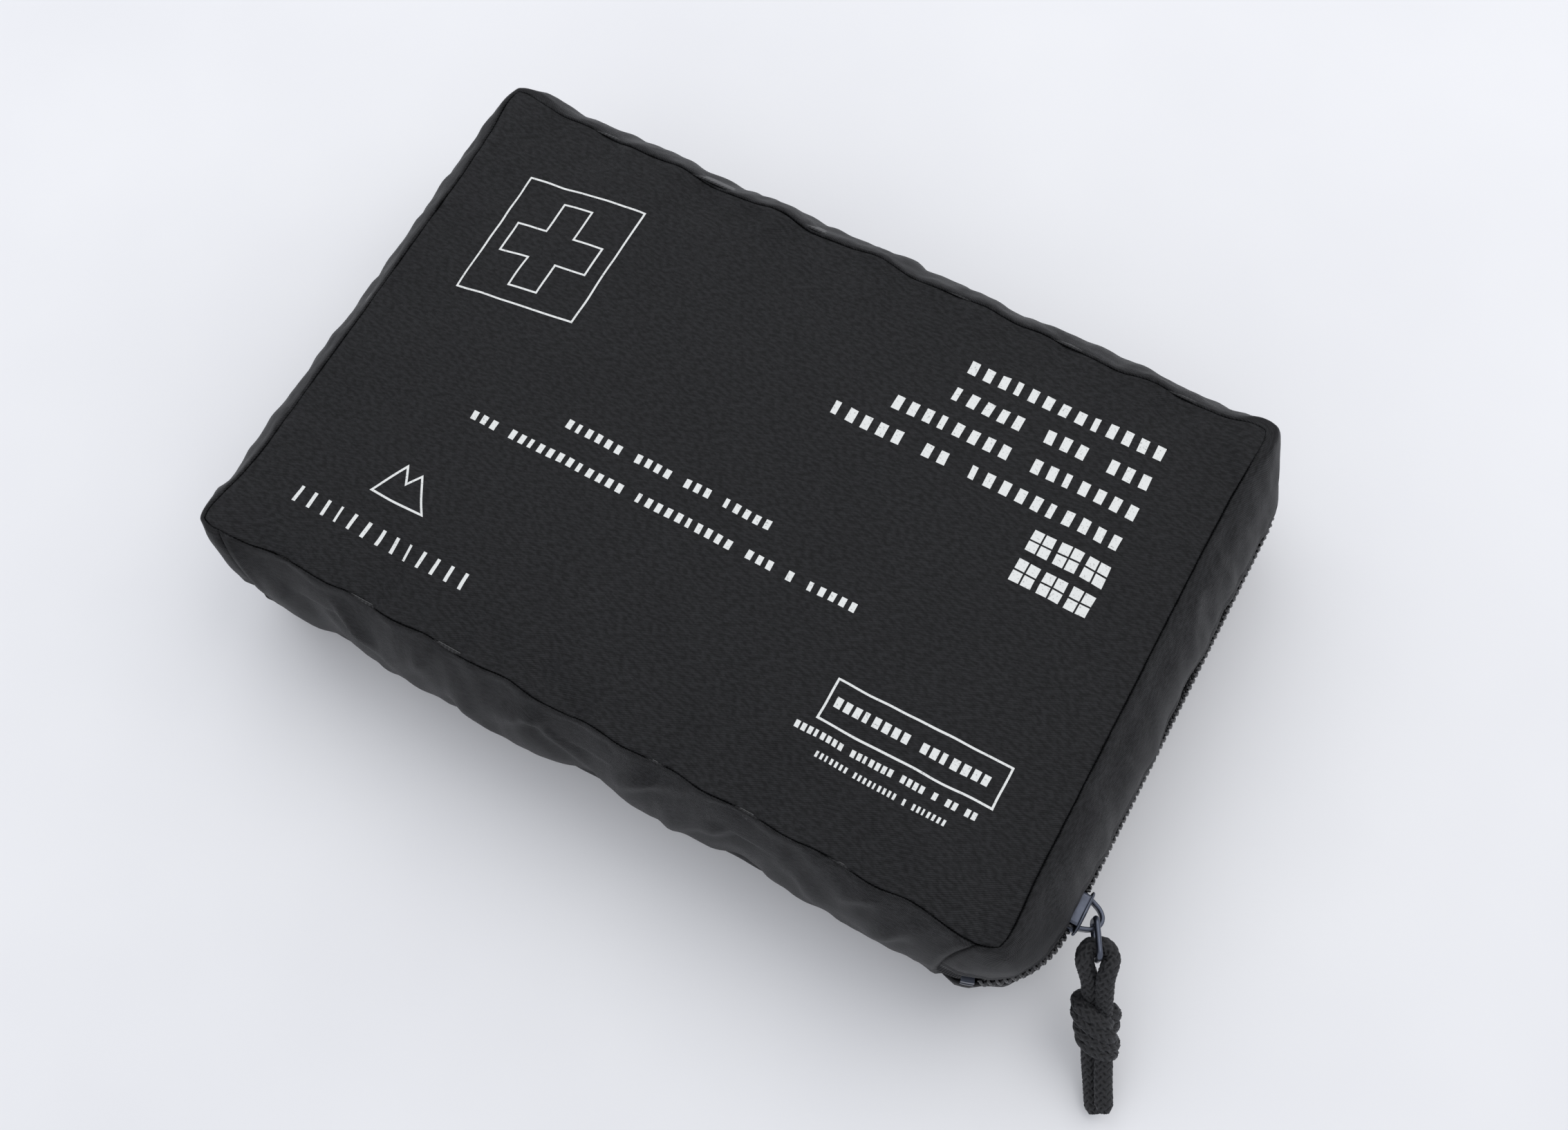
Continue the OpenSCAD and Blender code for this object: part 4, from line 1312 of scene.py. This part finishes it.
def add_tape_spool():
    """The adhesive tape wound on its plastic core, standing on its side."""
    low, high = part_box("adhesive_tape_roll")
    core_low, core_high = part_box("adhesive_tape_core")
    centre = (low + high) / 2
    outer, inner = (high[0] - low[0]) / 2, (core_high[0] - core_low[0]) / 2
    height = high[2] - low[2]

    def wound(angle, x, r):
        face = (r < outer - 0.3 * MM) & (r > inner + 0.2 * MM)
        end = np.where(x < height / 2, -1, 1)
        line = np.cos((r / (0.9 * MM) - angle / tau) * tau)
        tail = 0.25 * MM * smooth(((angle + 2.0) % tau) / 0.06) * (r > outer - 0.1 * MM)
        return face * end * (0.08 * MM * line - 0.15 * MM), tail - 0.25 * MM * (r > outer - 0.1 * MM)

    def upright(points):
        return np.stack([points[:, 2], points[:, 1], points[:, 0]], 1) + (centre[0], centre[1], low[2])

    tape = fibre_finish("fabric_tape", (0.78, 0.66, 0.50), (0.62, 0.50, 0.36), 0.5, 0.06, 0.7)
    points, quads = lathe(roll_profile(height, outer, inner + 0.1 * MM, 0.3 * MM), 128, wound)
    roll = joined("tape_roll", [(upright(points), quads[:, ::-1])])
    finish(roll, "base", tape, "adhesive_tape", ["adhesive_tape_roll"])
    plastic = Nodes("white_plastic", (0.8, 0.8, 0.78), 0.35, Specular_IOR_Level=0.5)
    plastic.bump(plastic.noise(plastic.place(), 500.0), 0.05 * MM, 0.4)
    wall = 1.6 * MM
    lip = [(0, inner - wall), (0, inner), (0.5 * MM, inner + 0.05 * MM), (height / 2, inner)]
    lip += [(height - 0.5 * MM, inner + 0.05 * MM), (height, inner), (height, inner - wall)]
    lip += [(height - 1 * MM, inner - wall - 0.2 * MM), (height / 2 + 1 * MM, inner - wall)]
    lip += [(height / 2, inner - wall - 0.8 * MM), (height / 2 - 1 * MM, inner - wall)]
    lip += [(MM, inner - wall - 0.2 * MM)]
    points, quads = lathe(lip, 96)
    core = joined("tape_core", [(upright(points), quads[:, ::-1])])
    finish(core, "base", plastic.material, "white_plastic", ["adhesive_tape_core"])


# Each film's name, two colours, roughness, gloss coat, crinkle height and size,
# then its metal share and its printed band: colour, pitch in millimetres, across, and threshold
FILMS = {
    "wrap": ("dressing_film", (0.78, 0.80, 0.80), (0.66, 0.70, 0.72), 0.38, 0.35, 0.3, 150.0),
    "banded": ("banded_film", (0.78, 0.80, 0.80), (0.68, 0.72, 0.74), 0.38, 0.35, 0.3, 150.0,
               0.0, ((0.05, 0.16, 0.34), 42, False, 0.93)),
    "paper": ("sterile_paper", (0.80, 0.81, 0.79), (0.72, 0.74, 0.73), 0.6, 0.0, 0.18, 260.0,
              0.0, ((0.10, 0.33, 0.22), 26, False, 0.95)),
    "blue": ("sheet_paper", (0.55, 0.66, 0.76), (0.66, 0.74, 0.80), 0.55, 0.05, 0.2, 220.0),
    "foil": ("blanket_foil", (0.83, 0.66, 0.30), (0.80, 0.72, 0.48), 0.24, 0.0, 0.5, 120.0, 1.0),
    "glove": ("glove_film", (0.48, 0.60, 0.70), (0.60, 0.70, 0.78), 0.22, 0.5, 0.4, 110.0),
    "wipe": ("wipe_foil", (0.70, 0.76, 0.78), (0.32, 0.52, 0.66), 0.28, 0.3, 0.25, 200.0,
             0.0, ((0.06, 0.34, 0.42), 14, True, 0.8)),
    "mask": ("mask_film", (0.72, 0.76, 0.77), (0.64, 0.71, 0.74), 0.25, 0.5, 0.3, 150.0),
}
# Each pack's CAD node, film, material slot, fill, end seal, side seal, creases, and mesh step
PACKS = (
    ("dressing_pack_large", "banded", "dressing_wrap", 0.8, 6, 0.4, 1.1, 1.7),
    ("dressing_packs_medium", "wrap", "dressing_wrap", 0.8, 6, 0.4, 1.0, 1.7),
    ("dressing_pack_small", "banded", "dressing_wrap", 0.8, 5, 0.4, 0.9, 1.7),
    ("wet_wipes", "wipe", "wipe_foil", 0.7, 4.5, 3.5, 0.5, 1.0),
    ("compress_packs", "paper", "paper_pouch", 0.4, 7, 6, 0.35, 1.7),
    ("triangular_bandages", "wrap", "paper_pouch", 0.5, 6, 3, 0.5, 1.7),
    ("sheet_dressing", "blue", "paper_pouch", 0.5, 7, 5, 0.4, 1.7),
    ("rescue_blanket", "foil", "blanket_foil", 0.6, 4, 1, 0.9, 1.7),
    ("gloves_pack", "glove", "glove_film", 0.6, 6, 1, 1.2, 1.7),
    ("mask_packs", "mask", "glove_film", 0.5, 6, 1.5, 0.4, 1.7),
)


def add_contents():
    films = {key: film_finish(*film) for key, film in FILMS.items()}
    add_rolls()
    add_tape_spool()
    for node, film, slot, fill, seal, side_seal, creases, step in PACKS:
        for number, box in enumerate(islands(node), 1):
            shape = pouch(box, seal, side_seal, 0.9, creases, number * 3.7 + len(node), step)
            piece = joined(f"{node}_{number}", [shape])
            finish(piece, "base", films[film], slot, [node])


add_contents()


# ---- Seam bindings and the lid's pocket ----
def ribbed_tape(name, colour, pitch, relief, turn=0.0):
    m = Nodes(name, colour, 0.7, Specular_IOR_Level=0.3, Sheen_Weight=0.25)
    place = m.place(uv=True)
    ribs = m.ribs(place, pitch, turn)
    cross = m.ribs(place, pitch * 0.6, turn + pi / 2)
    m.paint(m.mix(ribs, scaled(colour, 0.5), scaled(colour, 1.5)))
    m.bump(m.maths("ADD", ribs, m.maths("MULTIPLY", cross, 0.5)), relief * MM, 0.9)
    return m.material


def add_bindings():
    """The tape folded over the raw edges inside, all the way round, stitched near its edge."""
    webbing = ribbed_tape("binding_webbing", (0.014, 0.014, 0.015), 1.1, 0.15)
    for node, body in (("base_seam_binding", "base"), ("lid_seam_binding", "lid")):
        low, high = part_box(node)
        heights = np.linspace(low[2] + 0.3 * MM, high[2] - 0.3 * MM, 9)
        x, y = finer(ring_x, True), finer(ring_y, True)
        x, y = np.clip(x, -HALF_L, HALF_L), np.clip(y, -HALF_W, HALF_W)
        edge = np.linspace(-1, 1, 9)
        belly = 0.35 * MM * (1 - edge**4) - 0.35 * MM * near(np.abs(edge) - 0.66, 0.1)
        face = case_point(x[:, None], y[:, None], heights[None, :], -2.45 * MM - belly[None, :])
        rear = case_point(x[:, None], y[:, None], heights[None, ::-1], -1.95 * MM)
        points = np.concatenate([face, rear], 1)
        points = np.concatenate([points, points[:, :1]], 1)
        far = along_ring(points[:, 0])
        sway = 0.25 * MM * np.sin(far[:-1] / (23 * MM))
        points[..., 2] += sway[:, None]
        across = np.linspace(0, 15, points.shape[1])
        flat = together(far[:, None] / MM, across[None, :])
        quads, open_quads = grid_quads(*points.shape[:2], wrap=True)
        piece = mesh_of(node + "_tape", points, quads[:, ::-1], flat, open_quads[:, ::-1])
        finish(piece, body, webbing, "binding_tape", [node])


def add_net():
    """The pocket's net: round-cornered cells knitted in offset rows, with a bound edge."""
    low, high = np.array(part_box("mesh_pocket"))
    cell, thread = 2.7 * MM, 0.42 * MM
    size = high - low
    nx, ny = int(size[0] / cell), int(size[1] / (cell * 0.8))
    i, j = np.meshgrid(np.arange(nx + 1), np.arange(ny + 1), indexing="ij")
    x = low[0] + i * size[0] / nx
    y = low[1] + j * size[1] / ny
    # rows wave in turn, so that the cells between them are six-sided
    y = y + np.where((i + j) % 2 == 0, 0.24, -0.24) * cell * (j > 0) * (j < ny)
    inset = np.minimum(np.minimum(x - low[0], high[0] - x), y - low[1])
    drop = rise(inset, 0, 9)
    z = high[2] - 0.4 * MM - (size[2] - 0.9 * MM) * drop
    z = z + 0.25 * MM * fractal(np.stack([x, y, 0 * x], -1), 40 * MM, 2.0, 1) * drop
    points = np.stack([x, y, z], -1).reshape(-1, 3)
    ids = np.arange(len(points)).reshape(nx + 1, ny + 1)
    across = [(a, b) for a, b in zip(ids[:-1].ravel(), ids[1:].ravel())]
    up = [
        (ids[a, b], ids[a, b + 1]) for a in range(nx + 1) for b in range(ny)
        if (a + b) % 2 == 0 or a in (0, nx)
    ]
    parts = [rod(points[a], points[b], thread / 2) for a, b in across + up]
    net = joined("pocket_net", parts)
    mesh = Nodes("net_thread", (0.02, 0.02, 0.021), 0.6, Specular_IOR_Level=0.4, Sheen_Weight=0.2)
    mesh.bump(mesh.noise(mesh.place(), 3000.0), 0.05 * MM, 0.5)
    finish(net, "lid", mesh.material, "pocket_mesh", ["mesh_pocket"])


def rod(a, b, radius, sides=4):
    """A short straight thread between two points."""
    way = (b - a) / np.linalg.norm(b - a)
    side = np.cross(way, (0, 0, 1))
    side /= np.linalg.norm(side)
    up = np.cross(way, side)
    angle = np.arange(sides) * tau / sides + 0.4
    ring = radius * (side * np.cos(angle)[:, None] + up * np.sin(angle)[:, None])
    points = np.concatenate([a - way * radius * 0.4 + ring, b + way * radius * 0.4 + ring])
    k = np.arange(sides)
    after = (k + 1) % sides
    walls = np.stack([k, after, after + sides, k + sides], 1)
    return points, [*walls.tolist(), list(range(sides))[::-1], [sides + n for n in range(sides)]]


def end_caps(rows, cols):
    """Faces that close the two ends of a strip whose columns run round its section."""
    last = (rows - 1) * cols
    return [list(range(cols - 1)), [last + k for k in range(cols - 1)][::-1]]


def band_piece(name, box, rows, relief):
    """A flat band in a box: closed, with its face to -Z and relief(x, v) in metres on it."""
    low, high = np.array(box)
    n = ceil((high[0] - low[0]) / (1.0 * MM)) + 1
    x, v = np.meshgrid(np.linspace(low[0], high[0], n), np.linspace(0, 1, rows), indexing="ij")
    y = low[1] + v * (high[1] - low[1])
    face = np.stack([x, y, low[2] + 0.25 * MM + relief(x, v)], -1)
    rear = np.stack([x, y, high[2] - 0.1 * MM + 0 * x], -1)[:, ::-1]
    points = np.concatenate([face, rear, face[:, :1]], 1)
    flat = np.stack([points[..., 0], points[..., 1] + (points[..., 2] - low[2]) * 0.5], -1) / MM
    quads = grid_quads(*points.shape[:2])[0][:, ::-1].tolist()
    quads += [cap[::-1] for cap in end_caps(*points.shape[:2])]
    return mesh_of(name, points, quads, flat)


def add_pocket():
    elastic = ribbed_tape("elastic_webbing", (0.016, 0.016, 0.017), 0.8, 0.16, pi / 2)
    band = band_piece(
        "pocket_elastic_band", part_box("pocket_elastic"), 15,
        lambda x, v: 0.22 * MM * np.sin(x / (2.6 * MM) * tau) * np.sin(v * pi)
        + 0.1 * MM * np.cos(v * 6 * tau),
    )
    finish(band, "lid", elastic, "pocket_mesh", ["pocket_elastic"])
    add_net()


add_bindings()
add_pocket()


# ---- Booklet and plaster set in the pocket ----
def add_booklet():
    """A stapled booklet: sheets folded at the spine, its cover printed with plain bars."""
    low, high = np.array(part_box("booklet"))
    sheets, n = 7, 40
    thick = (high[2] - low[2]) / sheets
    parts = []
    for k in range(sheets):
        inset = 0.22 * MM * abs(k - (sheets - 1) / 2)
        v = np.linspace(0, 1, n)[:, None]
        u = np.linspace(0, 1, 24)[None, :]
        x = low[0] + 0.3 * MM + u * (high[0] - low[0] - 0.8 * MM - inset)
        y = low[1] + 0.2 * MM + v * (high[1] - low[1] - 0.4 * MM)
        pinch = 0.55 * (1 - smooth(u / 0.05))
        middle = (low[2] + high[2]) / 2
        z = low[2] + (k + 0.5) * thick
        z = z + (middle - z) * pinch + 0.12 * MM * np.sin(u * 3 + k) * np.sin(v * 2.5) + 0 * v
        sheet = together(x + 0 * v, y + 0 * u, z)
        half = np.array((0, 0, 0.36 * thick))
        face, rear = sheet - half, (sheet + half)[:, ::-1]
        ring_points = np.concatenate([face, rear, face[:, :1]], 1)
        grid = ring_points.shape[:2]
        parts.append((ring_points, grid_quads(*grid)[0].tolist() + end_caps(*grid)))
    booklet = joined("booklet_sheets", parts)
    m = Nodes("booklet_paper", (0.78, 0.78, 0.75), 0.5, Specular_IOR_Level=0.4, Coat_Weight=0.1)
    place = m.place()
    grain = m.noise(place, 900.0, 3.0)
    across = m.add("SeparateXYZ", Vector=place)
    lines = m.maths("GREATER_THAN", m.ribs(place, 7 * MM, pi / 2), 0.72)
    inside = m.maths("LESS_THAN", m.maths("ABSOLUTE", across.outputs["X"], 0), 55 * MM)
    head = m.maths("GREATER_THAN", across.outputs["Y"], 24 * MM)
    print_ink = m.maths("MULTIPLY", m.maths("MULTIPLY", lines, inside), 0.75)
    shade = m.mix(m.maths("MULTIPLY", grain, 0.3), (0.8, 0.8, 0.77), (0.7, 0.7, 0.67))
    shade = m.mix(print_ink, shade, (0.12, 0.13, 0.14))
    m.paint(m.mix(head, shade, (0.03, 0.25, 0.16)))
    m.bump(grain, 0.04 * MM, 0.5)
    finish(booklet, "lid", m.material, "booklet_paper", ["booklet"])


def add_plasters():
    """The plaster set: a clear sleeve with strips of several sizes in paper covers."""
    low, high = np.array(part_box("plaster_set"))
    sleeve = pouch((low, high), seal=3.5, side_seal=3.5, full=0.7, creases=0.2, seed=5.0)
    piece = joined("plaster_sleeve", [sleeve])
    m = Nodes("plaster_card", (0.74, 0.70, 0.64), 0.32, Specular_IOR_Level=0.5, Coat_Weight=0.4,
              Coat_Roughness=0.15)
    place = m.place()
    strips = m.maths("GREATER_THAN", m.ribs(place, 13 * MM, 0.0), 0.14)
    rows = m.maths("GREATER_THAN", m.ribs(place, 25 * MM, pi / 2), 0.1)
    card = m.maths("MULTIPLY", strips, rows)
    m.paint(m.mix(card, (0.18, 0.30, 0.42), (0.72, 0.56, 0.42)))
    m.bump(card, 0.3 * MM, 0.8)
    m.bump(m.noise(place, 240.0, 4.0), 0.15 * MM, 0.5)
    finish(piece, "lid", m.material, "paper_pouch", ["plaster_set"])


add_booklet()
add_plasters()


# ---- Metal: slider, bail, stops and scissors ----
def metal(name, colour, roughness, brushed=None, scratch=0.02):
    m = Nodes(name, colour, roughness, Metallic=1.0, Specular_IOR_Level=0.5)
    place = m.place()
    wear = m.noise(place, 420.0, 4.0)
    grain = m.noise(m.mapped(place, brushed or (900.0, 900.0, 900.0)), 1.0, 3.0)
    m.paint(m.mix(wear, scaled(colour, 0.7), scaled(colour, 1.2)))
    m.gloss(grain, roughness * 0.7, roughness * 1.4)
    m.bump(grain, scratch * MM, 0.5)
    return m.material


def dress(node, material):
    """Gives a CAD node that stays its finish."""
    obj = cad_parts[node]
    obj.data.materials.clear()
    obj.data.materials.append(material)


slider_metal = metal("slider_metal", (0.10, 0.11, 0.14), 0.34)
scissor_steel = metal("scissor_steel", (0.62, 0.62, 0.61), 0.24, (60.0, 1500.0, 60.0))
SLIDER_AT = np.array((HALF_L + SWELL, -0.052, MID_Z))


def bar(path, wide, thick, across, sides=20):
    """A strap or post with round edges: wide along the way across, thick across that."""
    tangent = np.gradient(path, axis=0)
    tangent /= np.linalg.norm(tangent, axis=1, keepdims=True)
    other = np.cross(tangent, across)
    angle = np.arange(sides) * tau / sides
    c, d = np.cos(angle), np.sin(angle)
    c, d = (np.sign(a) * np.abs(a) ** 0.5 for a in (c, d))
    points = path[:, None] + wide / 2 * c[None, :, None] * np.array(across)
    points = points + thick / 2 * d[None, :, None] * other[:, None]
    quads = grid_quads(sides, len(path), wrap=True)[0][:, ::-1].tolist()
    rim = np.arange(sides) * len(path)
    quads += [rim.tolist(), (rim + len(path) - 1).tolist()[::-1]]
    return points.swapaxes(0, 1).reshape(-1, 3), quads


def slider_plate(face, rear, crown, half_l=6 * MM, half_w=4.7 * MM):
    """A slider's plate: a rounded oblong, domed outside, wider at its two shoulders."""
    r = np.array((0.03, 0.3, 0.55, 0.78, 0.9))
    rim = [(rear + 0.15 * (face - rear), 0.97), ((face + rear) / 2, 1.0),
           (face - 0.15 * (face - rear), 0.97)]
    profile = [(rear, a) for a in r] + rim + [(face + crown * (1 - a * a), a) for a in r[::-1]]
    points, quads = lathe(profile, 72)
    y, z = points[:, 1].copy(), points[:, 2].copy()
    far = np.maximum(np.hypot(y, z), 1e-9)
    c, d = np.abs(y / far), np.abs(z / far)
    full = 1 / (c**3.6 + d**3.6) ** (1 / 3.6)
    shoulder = 1 - 0.10 * smooth((y * full + 0.3) / 1.2)
    notch = 1 - 0.16 * near(z * full, 0.22) * (y < 0)
    points[:, 1], points[:, 2] = y * full * half_l * notch, z * full * half_w * shoulder
    return points, quads[:, ::-1] if face < rear else quads


def add_slider():
    """Two plates, the side flanges, the post between the coils, and the arch over the pin."""
    y = np.linspace(-4.2, 4.2, 12) * MM
    parts = [slider_plate(2.0 * MM, 1.15 * MM, 0.3 * MM), slider_plate(-4.0 * MM, -2.95 * MM, -0.1 * MM)]
    for side in (-1, 1):
        path = np.stack([0 * y - 0.1 * MM, y, 0 * y + side * 4.25 * MM], 1)
        parts.append(bar(path, 2.9 * MM, 0.75 * MM, (1, 0, 0)))
    x = np.linspace(-3.2, 1.4, 8) * MM
    parts.append(bar(np.stack([x, 0 * x - 4.2 * MM, 0 * x], 1), 1.5 * MM, 2.6 * MM, (0, 0, 1)))
    body = joined("slider_shell", [(p + SLIDER_AT, q) for p, q in parts])
    finish(body, "slider", slider_metal, "slider_metal", ["slider_body"])
    arch = spline(MM * np.array([
        (1.9, -3.9, 0), (3.0, -3.5, 0), (4.6, -2.8, 0), (6.0, -1.5, 0), (6.45, 0, 0),
        (6.0, 1.5, 0), (4.6, 2.8, 0), (3.0, 3.5, 0), (1.9, 3.9, 0),
    ]), 36)
    points, quads = bar(arch, 3.4 * MM, 1.2 * MM, (0, 0, 1))
    crown = joined("slider_arch", [(points + SLIDER_AT, quads)])
    finish(crown, "slider", slider_metal, "slider_metal", ["slider_bridge"])


def add_bail():
    """The bail: one wire bent into an oblong loop through the slider's arch."""
    far, half, bend = 9.5 * MM, 3.8 * MM, 1.3 * MM
    loop = [(far, 0.0)]
    for cx, cz, start in ((far - bend, half - bend, 0), (bend, half - bend, 90),
                          (bend, bend - half, 180), (far - bend, bend - half, 270)):
        loop += [(cx + bend * cos(radians(start + a)), cz + bend * sin(radians(start + a)))
                 for a in range(0, 91, 15)]
    loop.append((far, 0.0))
    path = on_pull([(x, 0, z + MID_Z) for x, z in loop])
    wire = joined("pull_bail_wire", [tube(resampled(path, 120), 0.78 * MM, 16)])
    finish(wire, "pull", slider_metal, "slider_metal", ["pull_bail"])


add_slider()
add_bail()
for node in ("zip_bottom_stop", "base_zip_stop", "lid_zip_stop"):
    dress(node, slider_metal)
for node in ("scissors_lower_half", "scissors_upper_half", "scissors_rivet"):
    dress(node, scissor_steel)
